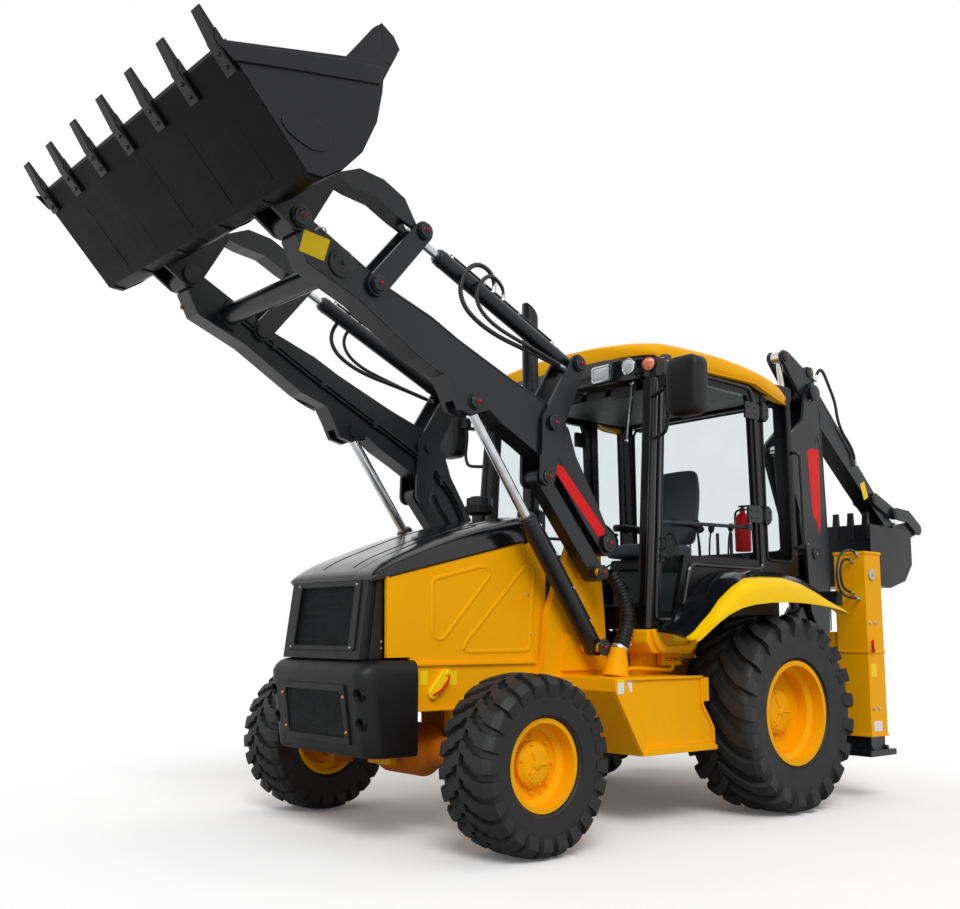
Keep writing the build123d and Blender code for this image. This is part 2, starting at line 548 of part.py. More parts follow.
def curved_links():
    """Arched bars from the levers to the bucket, forked round the tilt rods at the levers."""
    bulge, half = 95, 62
    dy, dz = LEVER_TOP[0] - BUCKET_LINK[0], LEVER_TOP[1] - BUCKET_LINK[1]
    length = (dy * dy + dz * dz) ** 0.5
    ny, nz = -dz / length, dy / length
    # share of the length, share of the bulge
    spots = [(0.0, 0.0), (0.25, 0.72), (0.5, 1.0), (0.75, 0.75), (1.0, 0.0)]
    centre = [(BUCKET_LINK[0] + dy * s + ny * bulge * b, BUCKET_LINK[1] + dz * s + nz * bulge * b) for s,
              b in spots]
    top = [(y + ny * half, z + nz * half) for y, z in centre[1:4]]
    low = [(y - ny * half, z - nz * half) for y, z in centre[1:4]]
    x0, x1 = ARM_MIDDLE - CURVED_HALF, ARM_MIDDLE + CURVED_HALF
    link = plate([centre[0], *top, centre[4], *reversed(low)], x0, x1)
    link += pin(BUCKET_LINK, 48, x0, x1) + pin(LEVER_TOP, 52, x0, x1)
    link -= pin(LEVER_TOP, 112, ARM_MIDDLE - TILT_HALF - WORK_GAP, ARM_MIDDLE + TILT_HALF + WORK_GAP)
    return pair(bored(link, (LEVER_TOP, LINK_PIN_R)))


def linkage_pins(at, r, free_half=0.0):
    """The headed pins at one pivot of the loader linkage, whole or as stubs that leave the middle free."""
    x0, x1 = ARM_IN - WORK_GAP - PLATE_T - 2, ARM_OUT + WORK_GAP + PLATE_T + 2
    if free_half == 0:
        steel = pin(at, r, x0, x1)
    else:
        steel = pin(at, r, x0, ARM_MIDDLE - free_half) + pin(at, r, ARM_MIDDLE + free_half, x1)
    steel += pin(at, r + PIN_HEAD, x0 - PIN_HEAD_T, x0) + pin(at, r + PIN_HEAD, x1, x1 + PIN_HEAD_T)
    return pair(steel)


def bucket_point(f, n):
    """(y, z) of a point f forwards along the loader bucket's floor and n above its hinge."""
    a = radians(BUCKET_CURL)
    return (BUCKET_HINGE[0] - f * cos(a) + n * sin(a), BUCKET_HINGE[1] + f * sin(a) + n * cos(a))


# points are (forward, up) from the hinge
BUCKET_SHELL = [(835, -148), (180, -155), (125, -100), (100, 30), (112, 200), (180, 370), (275, 500),
                (385, 620)]
BUCKET_INSIDE = [(835, -134), (190, -141), (138, -94), (114, 30), (126, 196), (192, 361), (286, 490),
                 (396, 611)]
GUARD_TOP = (470, 720)


def loader_bucket():
    """Loader bucket: curved shell, side plates, spill guard, hinge brackets and teeth."""
    side_outline = [bucket_point(f, n) for f, n in BUCKET_SHELL]
    sheet = BUCKET_SHELL + [GUARD_TOP] + [(GUARD_TOP[0] + 11,
                                           GUARD_TOP[1] - 9)] + list(reversed(BUCKET_INSIDE))
    body = plate([bucket_point(f, n) for f, n in sheet], -BUCKET_HALF_W, BUCKET_HALF_W)
    guard = [bucket_point(f, n) for f, n in ((385, 620), (540, 736), (455, 760), (390, 748), (360, 640))]
    for side in (-1, 1):
        ends = sorted((side * BUCKET_HALF_W, side * (BUCKET_HALF_W - BUCKET_SIDE)))
        body += plate(side_outline, *ends) + plate(guard, *ends)
    bracket_outline = [bucket_point(f, n) for f, n in ((-62, -40), (-20, -75), (130, -110), (150, 200),
                                                       (215, 385), (90, 395), (30, 350), (-60, 40))]
    for x0 in (ARM_IN - WORK_GAP - PLATE_T, ARM_OUT + WORK_GAP):
        bracket = bored(plate(bracket_outline, x0, x0 + PLATE_T), (BUCKET_HINGE, BOOM_PIN_R))
        body += bracket + mirrored(bracket)
    link_stubs = stubs(BUCKET_LINK, 40, CURVED_HALF + WORK_GAP)
    body += link_stubs + mirrored(link_stubs)
    for index in range(7):
        x = -1065 + index * 355
        tooth = [(700, -134), (1010, -128), (1010, -142), (850, -170), (700, -170)]
        body += plate([bucket_point(f, n) for f, n in tooth], x - 32, x + 32)
    return body


# ---------------------------------------------------------------- rear frame and stabilisers
def rear_frame():
    """Stabiliser columns, the two cross rails and the brackets to the chassis."""
    middle_x, middle_y = (COLUMN_IN + COLUMN_OUT) / 2, (COLUMN_FRONT + COLUMN_REAR) / 2
    column = block(COLUMN_IN, COLUMN_OUT, COLUMN_FRONT, COLUMN_REAR, COLUMN_BOTTOM, COLUMN_TOP)
    column -= block(COLUMN_IN + COLUMN_WALL, COLUMN_OUT - COLUMN_WALL, COLUMN_FRONT + COLUMN_WALL,
                    COLUMN_REAR - COLUMN_WALL, COLUMN_BOTTOM - 1, COLUMN_TOP - COLUMN_WALL)
    frame = column + mirrored(column)
    for z0, z1 in SLIDE_RAIL:
        frame += block(-COLUMN_IN, COLUMN_IN, SLIDE_FRONT, SLIDE_REAR, z0, z1)
    bracket = block(320, 460, FRAME_REAR + SEAT_GAP, SLIDE_FRONT, SLIDE_RAIL[0][0], SLIDE_RAIL[1][1])
    return frame + bracket + mirrored(bracket)


def stabiliser_leg():
    """Left stabiliser leg with its pad."""
    gap = COLUMN_WALL + 0.5
    leg = block(COLUMN_IN + gap, COLUMN_OUT - gap, COLUMN_FRONT + gap, COLUMN_REAR - gap,
                PAD_BOTTOM + PAD_T, COLUMN_TOP - 120)
    leg -= block(COLUMN_IN + gap + LEG_WALL, COLUMN_OUT - gap - LEG_WALL, COLUMN_FRONT + gap + LEG_WALL,
                 COLUMN_REAR - gap - LEG_WALL, PAD_BOTTOM + PAD_T + 20, COLUMN_TOP)
    pad = block(COLUMN_IN - 60, COLUMN_OUT + 25, COLUMN_FRONT - 60, COLUMN_REAR + 60, PAD_BOTTOM,
                PAD_BOTTOM + PAD_T)
    return leg + pad


# ---------------------------------------------------------------- backhoe
LUG_LEVELS = ((540.0, 600.0), (1060.0, 1120.0))


def carriage():
    """Side-shift carriage: back plate hooked over both rails, with two lugs for the swing post."""
    x0, x1 = SHIFT_X - 230, SHIFT_X + 230
    face = SLIDE_REAR + SEAT_GAP
    low, high = SLIDE_RAIL[0][0] - SEAT_GAP, SLIDE_RAIL[1][1] + SEAT_GAP
    body = block(x0, x1, face, face + 50, low - 30, high + 30)
    body += block(x0, x1, SLIDE_FRONT, face, high, high + 30) + block(x0, x1, SLIDE_FRONT, face, low - 30,
                                                                      low)
    for z0, z1 in LUG_LEVELS:
        lug = block(SHIFT_X - 110, SHIFT_X + 110, face + 50, SWING_AXIS_Y, z0, z1) + post(SHIFT_X,
                                                                                          SWING_AXIS_Y, 85, z0, z1)
        body += lug - post(SHIFT_X, SWING_AXIS_Y, 40 + PIN_PLAY, z0 - 1, z1 + 1)
    return body


def swing_post():
    """Swing post between the lugs: foot clevis for the boom, head for its cylinder."""
    top_lug, low_lug = LUG_LEVELS[1], LUG_LEVELS[0]
    mast = post(SHIFT_X, SWING_AXIS_Y, 75, low_lug[1] + SEAT_GAP, top_lug[0] - SEAT_GAP)
    mast += post(SHIFT_X, SWING_AXIS_Y, 40, low_lug[0], top_lug[1] + SEAT_GAP + 5)
    body = mast + block(SHIFT_X - 130, SHIFT_X + 130, SWING_AXIS_Y - 30, SWING_AXIS_Y + 60,
                        low_lug[1] + 20, 850)
    for side in (-1, 1):
        cheek_x = sorted((SHIFT_X + side * (HOE_BOOM_OUT + WORK_GAP),
                          SHIFT_X + side * (HOE_BOOM_OUT + WORK_GAP + 30)))
        body += plate([(SWING_AXIS_Y - 30, 625), (SWING_AXIS_Y - 30, 850), (1600, 740), (1640, 645),
                       (1600, 565), (1545, 565), (1502, 606), (1450, 630)], *cheek_x)
        head_x = sorted((SHIFT_X + side * 42, SHIFT_X + side * 66))
        body += plate([(SWING_AXIS_Y - 75, top_lug[1] + 5), (SWING_AXIS_Y - 110, 1270), (1330, 1330),
                       (1385, 1270), (SWING_AXIS_Y + 40, top_lug[1] + 5)], *head_x)
    body += block(SHIFT_X - 66, SHIFT_X + 66, SWING_AXIS_Y - 75, SWING_AXIS_Y + 40, top_lug[1] + 5,
                  top_lug[1] + 40)
    body += pin(BOOM_FOOT, HOE_PIN_R, SHIFT_X - 135, SHIFT_X + 135) + pin(BOOM_CYL_BASE, HOE_PIN_R,
                                                                          SHIFT_X - 66, SHIFT_X + 66)
    return body


BOOM_SIDE = [(1500, 620), (1560, 555), (1625, 620), (1680, 1750), (1650, 2500), (1625, 3040),
             (1530, 3130), (1435, 3040), (1390, 2820), (1150, 2620), (1095, 2540), (1130, 2460),
             (1360, 1900), (1400, 1300), (1500, 1140), (1500, 700)]


def backhoe_boom():
    """Boom: two side plates with a rear web and a cross web, bored at every pivot."""
    body = None
    for side in (-1, 1):
        x0, x1 = sorted((SHIFT_X + side * HOE_BOOM_IN, SHIFT_X + side * HOE_BOOM_OUT))
        cheek = plate(BOOM_SIDE, x0, x1)
        body = cheek if body is None else body + cheek
    body += plate([(1604, 760), (1624, 760), (1676, 1750), (1648, 2350), (1628, 2350), (1655, 1750)],
                  SHIFT_X - HOE_BOOM_IN, SHIFT_X + HOE_BOOM_IN)
    body += pin(BOOM_FOOT, 60, SHIFT_X - HOE_BOOM_IN, SHIFT_X + HOE_BOOM_IN)
    body = bored(body, (BOOM_FOOT, HOE_PIN_R))
    for x0, x1 in ((-HOE_BOOM_IN - 1, -HOE_FREE), (HOE_FREE, HOE_BOOM_IN + 1)):
        body += pin(BOOM_CYL_EYE, 40, SHIFT_X + x0, SHIFT_X + x1)
    body += pin(DIPPER_CYL_BASE, HOE_PIN_R, SHIFT_X - HOE_BOOM_OUT, SHIFT_X + HOE_BOOM_OUT)
    body += pin(DIPPER_PIVOT, HOE_PIN_R + 4, SHIFT_X - HOE_BOOM_OUT - 20, SHIFT_X + HOE_BOOM_OUT + 20)
    return body


HOE_EYE_HALF = 36.0          # half width of the backhoe cylinder eyes
HOE_FREE = 44.0              # half width of the free space round them


def dipper_point(s, h):
    """(y, z) of a point s along the dipper from its pivot and h above its axis."""
    a = atan2(HOE_HINGE[1] - DIPPER_PIVOT[1], HOE_HINGE[0] - DIPPER_PIVOT[0])
    return (DIPPER_PIVOT[0] + s * cos(a) - h * sin(a), DIPPER_PIVOT[1] + s * sin(a) + h * cos(a))


def dipper():
    """Dipper arm with its forked tail and the ears of the bucket cylinder."""
    box_side = [(-40, 88), (120, 84), (700, 62), (1197, 54), (1560, 48), (1560, -48), (1000, -78),
                (300, -98), (-40, -98)]
    beam = plate([dipper_point(s, h) for s, h in box_side], SHIFT_X - DIPPER_HALF, SHIFT_X + DIPPER_HALF)
    beam += pin(DIPPER_PIVOT, 88, SHIFT_X - DIPPER_HALF, SHIFT_X + DIPPER_HALF)
    beam += pin(HOE_HINGE, 55, SHIFT_X - DIPPER_HALF, SHIFT_X + DIPPER_HALF)
    tail = [(-455, 20), (-404, 55), (-190, 110), (-150, 170), (-105, 200), (-55, 170), (60, 80),
            (60, -98), (-60, -98), (-404, -58), (-455, -20)]
    for x0, x1 in ((SHIFT_X - DIPPER_HALF, SHIFT_X - HOE_FREE), (SHIFT_X + HOE_FREE, SHIFT_X + DIPPER_HALF)):
        beam += plate([dipper_point(s, h) for s, h in tail], x0, x1)
    beam = bored(beam, (DIPPER_PIVOT, HOE_PIN_R + 4), (HOE_HINGE, HOE_PIN_R), (TIP_LEVER_FOOT, HOE_PIN_R))
    beam += pin(BUCKET_CYL_BASE, HOE_PIN_R, SHIFT_X - DIPPER_HALF, SHIFT_X + DIPPER_HALF)
    return beam


def hoe_cylinders():
    """Boom, dipper and bucket cylinders of the backhoe."""
    table = [  # name, base, eye, barrel radius, rod radius, barrel length, start of the rod
        ("boom", BOOM_CYL_BASE, BOOM_CYL_EYE, 38, 22, 1212, 66),
        ("dipper", DIPPER_CYL_BASE, DIPPER_CYL_EYE, 40, 24, 880, 700),
        ("bucket", BUCKET_CYL_BASE, BUCKET_CYL_EYE, 38, 22, 900, 640)]
    nodes = {}
    for name, base, eye, barrel_r, rod_r, end, start in table:
        barrel, rod = cylinder(base, eye, barrel_r, rod_r, end, start, SHIFT_X, HOE_EYE_HALF, HOE_PIN_R)
        nodes["backhoe_%s_barrel" % name], nodes["backhoe_%s_rod" % name] = barrel, rod
    return nodes


def tipping_levers():
    """Pair of levers from the dipper to the bucket cylinder's eye, on one pin through the dipper."""
    body = pin(TIP_LEVER_FOOT, HOE_PIN_R, SHIFT_X - 100, SHIFT_X + 100)
    inner = DIPPER_HALF + WORK_GAP
    for side in (-1, 1):
        body += bar(TIP_LEVER_FOOT, BUCKET_CYL_EYE, 50, 50,
                    *sorted((SHIFT_X + side * inner, SHIFT_X + side * (inner + 20))))
        body += pin(BUCKET_CYL_EYE, 40, *sorted((SHIFT_X + side * HOE_FREE, SHIFT_X + side * (inner + 1))))
        body += pin(BUCKET_CYL_EYE, HOE_PIN_R, *sorted((SHIFT_X + side * (inner + 1), SHIFT_X + side * 130)))
    return body


def tipping_links():
    """Pair of arched links from the levers to the bucket."""
    dy, dz = HOE_LINK[0] - BUCKET_CYL_EYE[0], HOE_LINK[1] - BUCKET_CYL_EYE[1]
    knee = (BUCKET_CYL_EYE[0] + dy * 0.5 + 10, BUCKET_CYL_EYE[1] + dz * 0.5 + 45)
    pieces = []
    for side in (-1, 1):
        x0, x1 = sorted((SHIFT_X + side * 102, SHIFT_X + side * 125))
        link = bar(BUCKET_CYL_EYE, knee, 50, 52, x0, x1) + bar(knee, HOE_LINK, 52, 50, x0, x1)
        pieces.append(bored(link, (BUCKET_CYL_EYE, HOE_PIN_R)))
    return pieces


def backhoe_bucket():
    """Digging bucket: shell, side plates, ears with pins, and teeth."""
    outer = [(1960, 2000), (1960, 1600), (2060, 1510), (2240, 1495), (2480, 1560), (2600, 1700), (2600, 1975)]
    inner = [(1976, 2000), (1976, 1608), (2066, 1526), (2238, 1511), (2472, 1574), (2584, 1706), (2584, 1975)]
    body = plate(outer + list(reversed(inner)), SHIFT_X - HOE_HALF_W, SHIFT_X + HOE_HALF_W)
    for side in (-1, 1):
        body += plate(outer, *sorted((SHIFT_X + side * HOE_HALF_W, SHIFT_X + side * (HOE_HALF_W - 18))))
        ear = plate([(2590, 1800), (2590, 1975), (2700, 2040), (2760, 2060), (3040, 2110), (3110, 2050),
                     (3060, 1985), (2760, 1880)], *sorted((SHIFT_X + side * 76, SHIFT_X + side * 98)))
        body += ear
    body += pin(HOE_HINGE, HOE_PIN_R, SHIFT_X - 98, SHIFT_X + 98) + pin(HOE_LINK, HOE_PIN_R, SHIFT_X - 97,
                                                                        SHIFT_X + 97)
    for index in range(5):
        x = SHIFT_X - 260 + index * 130
        body += plate([(1948, 1880), (1948, 1990), (1962, 2100), (1972, 2100), (1984, 1990),
                       (1984, 1880)], x - 25, x + 25)
    return body


# ---------------------------------------------------------------- steering wheel


def steering_wheel():
    """Steering wheel on its column."""
    ring = Torus(185, 15)
    spokes = Box(2 * 185, 26, 12) + Box(26, 2 * 185, 12)
    hub = Cylinder(38, 40) + Pos(0, 0, -STEER_COLUMN) * Cylinder(20, STEER_COLUMN,
                                                                 align=(Align.CENTER, Align.CENTER,
                                                                        Align.MIN))
    return STEER_FRAME * (ring + spokes + hub)


# ---------------------------------------------------------------- assembly
def build():
    """Every node by name, still in the rear-axle frame."""
    nodes = {"main_frame": main_frame(), "engine_block": engine_block(), "axles": axles(),
             "bumper": bumper(), "grille_panel": grille_panel(), "side_panels": side_panels(),
             "engine_hood": engine_hood(), "stacks": stacks(), "side_tanks": side_tanks(),
             "cab_frame": cab_frame(), "cab_glass": cab_glass(), "cab_roof": cab_roof(),
             "fenders": fenders(), "seat": seat(), "cab_fittings": cab_fittings(),
             "steering_wheel": steering_wheel(), "rear_frame": rear_frame()}
    nodes.update(wheels())
    nodes["left_knuckle"], nodes["right_knuckle"] = pair(knuckle())
    frame, pane = door()
    nodes["left_door"], nodes["right_door"] = pair(frame)
    nodes["left_door_glass"], nodes["right_door_glass"] = pair(pane)
    nodes["loader_boom"] = loader_boom()
    nodes["bell_cranks"] = bell_cranks()
    nodes["levelling_links"] = levelling_links()
    nodes["lift_barrels"], nodes["lift_rods"] = lift_cylinders()
    nodes["tilt_barrels"], nodes["tilt_rods"] = tilt_cylinders()
    nodes["levers"] = levers()
    nodes["curved_links"] = curved_links()
    nodes["bucket_pins"] = linkage_pins(BUCKET_HINGE, BOOM_PIN_R)
    nodes["lever_pins"] = linkage_pins(LEVER_FOOT, LINK_PIN_R)
    nodes["link_pins"] = linkage_pins(LEVER_TOP, LINK_PIN_R, TILT_HALF + WORK_GAP)
    nodes["tilt_pins"] = linkage_pins(CRANK_TOP, LINK_PIN_R)
    nodes["loader_bucket"] = loader_bucket()
    nodes["left_stabiliser"], nodes["right_stabiliser"] = pair(stabiliser_leg())
    nodes["carriage"] = carriage()
    nodes["swing_post"] = swing_post()
    nodes["backhoe_boom"] = backhoe_boom()
    nodes["dipper"] = dipper()
    nodes.update(hoe_cylinders())
    nodes["tipping_levers"] = tipping_levers()
    nodes["tipping_links"] = tipping_links()
    nodes["backhoe_bucket"] = backhoe_bucket()
    return nodes


def solids_of(piece):
    """The separate solids of a piece or list of pieces."""
    pieces = piece if isinstance(piece, list) else [piece]
    return [solid for item in pieces for solid in item.solids()]


def main():
    os.makedirs("parts", exist_ok=True)
    nodes = {name: solids_of(piece) for name, piece in build().items()}
    box = Compound(children=[copy for solids in nodes.values() for copy in solids]).bounding_box()
    shift_y = -(box.min.Y + box.max.Y) / 2
    print("shift along Y: %.3f mm" % shift_y)
    for name, solids in nodes.items():
        moved = [Pos(0, shift_y, 0) * solid for solid in solids]
        export_step(Compound(children=moved, label=name), "parts/%s.step" % name)
    return shift_y


if __name__ == "__main__":
    main()
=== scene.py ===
"""Backhoe loader: finishes, dressed sub-assemblies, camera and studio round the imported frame.

Shapes are given in the machine's own millimetres: X to its left, Y to its rear from the rear
axle, Z up from the ground.
"""

import json
import logging
import math
from collections.abc import Callable, Iterable, Sequence
from dataclasses import dataclass, field
from enum import Enum

import bpy
from mathutils import Matrix, Vector

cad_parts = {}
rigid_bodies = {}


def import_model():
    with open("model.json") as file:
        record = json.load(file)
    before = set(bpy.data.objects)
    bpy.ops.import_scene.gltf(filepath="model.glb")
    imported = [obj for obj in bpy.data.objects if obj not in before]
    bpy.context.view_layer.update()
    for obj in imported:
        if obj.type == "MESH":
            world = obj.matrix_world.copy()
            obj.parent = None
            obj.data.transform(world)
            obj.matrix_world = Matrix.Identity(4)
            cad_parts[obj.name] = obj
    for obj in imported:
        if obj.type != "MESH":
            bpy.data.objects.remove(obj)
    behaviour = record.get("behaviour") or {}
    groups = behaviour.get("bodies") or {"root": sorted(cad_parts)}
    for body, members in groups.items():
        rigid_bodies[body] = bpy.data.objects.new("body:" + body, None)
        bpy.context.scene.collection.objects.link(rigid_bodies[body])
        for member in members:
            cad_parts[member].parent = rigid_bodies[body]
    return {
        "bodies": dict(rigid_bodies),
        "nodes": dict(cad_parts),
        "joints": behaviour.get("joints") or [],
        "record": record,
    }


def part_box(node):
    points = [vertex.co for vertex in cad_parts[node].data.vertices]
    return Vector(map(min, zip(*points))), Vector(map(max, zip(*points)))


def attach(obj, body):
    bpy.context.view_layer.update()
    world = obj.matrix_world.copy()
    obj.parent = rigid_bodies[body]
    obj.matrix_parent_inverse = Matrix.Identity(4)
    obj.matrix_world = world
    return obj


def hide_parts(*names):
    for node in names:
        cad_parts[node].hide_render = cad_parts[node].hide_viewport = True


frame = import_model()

LOG = logging.getLogger("loader")
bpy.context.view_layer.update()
RIM_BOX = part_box("rear_left_rim")
AXLE_Y = (RIM_BOX[0].y + RIM_BOX[1].y) / 2
Point = tuple[float, float, float]
Pair = tuple[float, float]
ACROSS: Point = (1, 0, 0)
REARWARD: Point = (0, 1, 0)
UP: Point = (0, 0, 1)
WHITE = (1, 1, 1, 1)


def metres(point: Sequence[float]) -> Vector:
    """A machine point in the frame's metres."""
    return Vector((point[0] / 1000, point[1] / 1000 + AXLE_Y, point[2] / 1000))


def linear(red: float, green: float, blue: float) -> tuple[float, float, float, float]:
    """A display colour of 0 to 255 as the linear colour that a shader takes.

    Args:
        red: red, 0 to 255.
        green: green, 0 to 255.
        blue: blue, 0 to 255.

    Returns:
        Linear red, green and blue, and 1 for alpha.
    """
    shares = [c / 255 for c in (red, green, blue)]
    scene = [s / 12.92 if s <= 0.04045 else ((s + 0.055) / 1.055) ** 2.4 for s in shares]
    return (scene[0], scene[1], scene[2], 1.0)


# ---------------------------------------------------------------- shader maths
class Tap:
    """One output socket; Python expressions on it add Math nodes."""

    def __init__(self, graph: "Graph", node: bpy.types.Node, name: str | int = 0) -> None:
        """Takes an output of a node.

        Args:
            graph: the graph that the node is in.
            node: the node.
            name: the output's name or number.
        """
        self.graph = graph
        self.node = node
        self.socket = node.outputs[name] if len(node.outputs) else None

    def of(self, name: str | int) -> "Tap":
        """Another output of the same node."""
        return Tap(self.graph, self.node, name)

    def maths(self, operation: str, first: "Tap | float", second: "Tap | float") -> "Tap":
        """A Math node on two values."""
        return self.graph.add("ShaderNodeMath", {"operation": operation}, {0: first, 1: second})

    def __add__(self, other: "Tap | float") -> "Tap":
        """Sum."""
        return self.maths("ADD", self, other)

    def __rsub__(self, other: "Tap | float") -> "Tap":
        """Difference from a number, such as 1 - mask."""
        return self.maths("SUBTRACT", other, self)

    def __mul__(self, other: "Tap | float") -> "Tap":
        """Product."""
        return self.maths("MULTIPLY", self, other)

    def wave(self, length: float) -> "Tap":
        """A smooth wave from -1 to 1 that repeats every `length` of this value."""
        return self.maths("SINE", self * (2 * math.pi / length), 0.0)


class Graph:
    """The node tree of a material or of the world, built from Python values."""

    def __init__(self, name: str, world: bpy.types.World | None = None) -> None:
        """Makes an empty node tree.

        Args:
            name: the new material's name.
            world: a world, if the tree is its own.
        """
        self.material = world or bpy.data.materials.new(name)
        self.material.use_nodes = True
        self.tree = self.material.node_tree
        self.tree.nodes.clear()

    def add(self, kind: str, settings: dict | None = None, inputs: dict | None = None) -> Tap:
        """Adds one node.

        Args:
            kind: Blender's node type.
            settings: attributes, set before the sockets; "stops" are a ramp's (place, colour).
            inputs: socket name or number to a value or a Tap.

        Returns:
            The node's first output.
        """
        node = self.tree.nodes.new(kind)
        for name, value in (settings or {}).items():
            if name == "stops":
                for index, (place, colour) in enumerate(value):
                    ramp = node.color_ramp.elements
                    stop = ramp[index] if index < len(ramp) else ramp.new(place)
                    stop.position, stop.color = place, colour
            else:
                setattr(node, name, value)
        for name, value in (inputs or {}).items():
            if isinstance(value, Tap):
                self.tree.links.new(value.socket, node.inputs[name])
            else:
                node.inputs[name].default_value = value
        return Tap(self, node)

    def place(self) -> Tap:
        """The point on the piece, in the row frame's metres."""
        return self.add("ShaderNodeTexCoord").of("Object")

    def stretched(self, x: float, y: float, z: float) -> Tap:
        """The point with each axis scaled.

        Args:
            x: the scale of X.
            y: the scale of Y.
            z: the scale of Z.

        Returns:
            The scaled point.
        """
        settings = {"operation": "MULTIPLY"}
        return self.add("ShaderNodeVectorMath", settings, {0: self.place(), 1: (x, y, z)})

    def axes(self) -> tuple[Tap, Tap, Tap]:
        """The point's X, Y and Z."""
        split = self.add("ShaderNodeSeparateXYZ", None, {0: self.place()})
        return split, split.of(1), split.of(2)

    def noise(self, scale: float, detail: float = 2.0, vector: Tap | None = None) -> Tap:
        """Soft noise about 0.5.

        Args:
            scale: the noise's scale.
            detail: its octaves.
            vector: where it is read, or the point on the piece.

        Returns:
            The noise.
        """
        inputs = {"Vector": vector or self.place(), "Scale": scale, "Detail": detail}
        return self.add("ShaderNodeTexNoise", None, inputs)

    def band(self, value: Tap, low: float, high: float, start: float = 0.0, end: float = 1.0) -> Tap:
        """The value mapped from low..high to start..end, and held there.

        Args:
            value: the value.
            low: its lower limit.
            high: its upper limit.
            start: the result at the lower limit.
            end: the result at the upper limit.

        Returns:
            The mapped value.
        """
        inputs = {"Value": value, "From Min": low, "From Max": high, "To Min": start, "To Max": end}
        return self.add("ShaderNodeMapRange", None, inputs)

    def mix(
        self, share: "Tap | float", first: "Tap | Sequence[float]", second: "Tap | Sequence[float]"
    ) -> Tap:
        """A colour between two.

        Args:
            share: how much of the second there is, 0 to 1.
            first: the first colour.
            second: the second colour.

        Returns:
            The mixed colour.
        """
        inputs = {0: share, 6: first, 7: second}
        return self.add("ShaderNodeMix", {"data_type": "RGBA"}, inputs).of(2)

    def rounded(self, radius: float) -> Tap:
        """A normal that rounds edges by this radius in metres."""
        return self.add("ShaderNodeBevel", {"samples": 4}, {"Radius": radius})

    def seen(self, gloss: bool = True) -> Tap:
        """1 for rays from the camera, through glass and, with gloss, off gloss, else 0.

        Args:
            gloss: whether rays off gloss count too.

        Returns:
            1 or 0.
        """
        path = self.add("ShaderNodeLightPath")
        first = path.maths("MAXIMUM", path.of("Is Camera Ray"), path.of("Is Transmission Ray"))
        return path.maths("MAXIMUM", first, path.of("Is Glossy Ray")) if gloss else first

    def bump(self, height: Tap, strength: float, distance: float, normal: Tap | None = None) -> Tap:
        """A normal raised by the height.

        Args:
            height: the height.
            strength: how strongly it tilts the normal.
            distance: how high 1 stands, in metres.
            normal: the normal that it starts from.

        Returns:
            The tilted normal.
        """
        inputs = {"Height": height, "Strength": strength, "Distance": distance}
        if normal is not None:
            inputs["Normal"] = normal
        return self.add("ShaderNodeBump", None, inputs)

    def surface(self, **inputs: "Tap | float | Sequence[float]") -> Tap:
        """A Principled shader on the material's output.

        Args:
            **inputs: the shader's inputs, with underscores for spaces.

        Returns:
            The shader.
        """
        named = {key.replace("_", " "): value for key, value in inputs.items()}
        shader = self.add("ShaderNodeBsdfPrincipled", None, named)
        self.add("ShaderNodeOutputMaterial", None, {"Surface": shader})
        return shader


# ---------------------------------------------------------------- finishes
@dataclass(frozen=True)
class Finish:
    """What all finishes share: a name, a display colour and a roughness."""

    label: str
    colour: Point
    roughness: float

    def material(self) -> bpy.types.Material:
        """The finish's material, made once.

        Returns:
            The material.
        """
        known = bpy.data.materials.get(self.label)
        if known is not None:
            return known
        graph = Graph(self.label)
        self.build(graph)
        return graph.material

    def build(self, graph: Graph) -> None:
        """Fills the graph; each kind of finish has its own."""
        raise NotImplementedError

    def varied(self, graph: Graph, scale: float, amount: float) -> Tap:
        """The colour with a soft drift in lightness.

        Args:
            graph: the material's graph.
            scale: scale of the drift's noise.
            amount: the darkest places' share of darkening.

        Returns:
            The colour.
        """
        base = linear(*self.colour)
        dark = tuple(c * (1 - amount) for c in base[:3]) + (1.0,)
        return graph.mix(graph.band(graph.noise(scale, 3.0), 0.35, 0.65), dark, base)


@dataclass(frozen=True)
class SprayPaint(Finish):
    """Sprayed enamel: orange peel, settled dust low down, rounded edges and, on the black paints, lighter
    edges that are partly wear and partly a painted highlight.
    """

    coat: float = 0.06
    edge: float = 0.003
    dust: float = 0.10
    # Share of lighter grey on the edges: partly wear, partly a painted highlight.
    wear_and_highlight: float = 0.0
    shine: float = 0.16

    def build(self, graph: Graph) -> None:
        """Builds the paint.

        Args:
            graph: the material's empty graph.
        """
        colour = self.varied(graph, 1.4, 0.07)
        _, _, height = graph.axes()
        low = graph.band(height, 0.25, 1.0, 1.0, 0.0)
        streaks = graph.band(graph.noise(1.0, 5.0, graph.stretched(14, 14, 2.2)), 0.5, 0.75)
        film = streaks * low * self.dust
        colour = graph.mix(film, colour, linear(150, 138, 118))
        rounded = graph.rounded(self.edge)
        # Lighter grey on the rounded edges: partly rubbed wear, partly a painted highlight along the black
        # paint's edges.
        if self.wear_and_highlight > 0:
            flat = graph.add("ShaderNodeNewGeometry").of("Normal")
            turn = graph.add("ShaderNodeVectorMath", {"operation": "DOT_PRODUCT"}, {0: rounded, 1: flat})
            edges = graph.band(turn.of("Value"), 0.995, 0.93)
            rubbed_and_highlit = edges * graph.band(graph.noise(22.0, 3.0), 0.42, 0.62) * self.wear_and_highlight
            colour = graph.mix(rubbed_and_highlit, colour, linear(120, 122, 124))
        gloss = graph.band(graph.noise(6.0, 4.0), 0.3, 0.7, self.roughness - 0.04, self.roughness + 0.05)
        peel = graph.bump(graph.noise(260.0, 1.0), 0.06, 0.0006, rounded)
        graph.surface(
            Base_Color=colour,
            Roughness=gloss + film * 0.6,
            Coat_Weight=self.coat,
            Coat_Roughness=0.12,
            Specular_IOR_Level=self.shine,
            Normal=peel,
        )


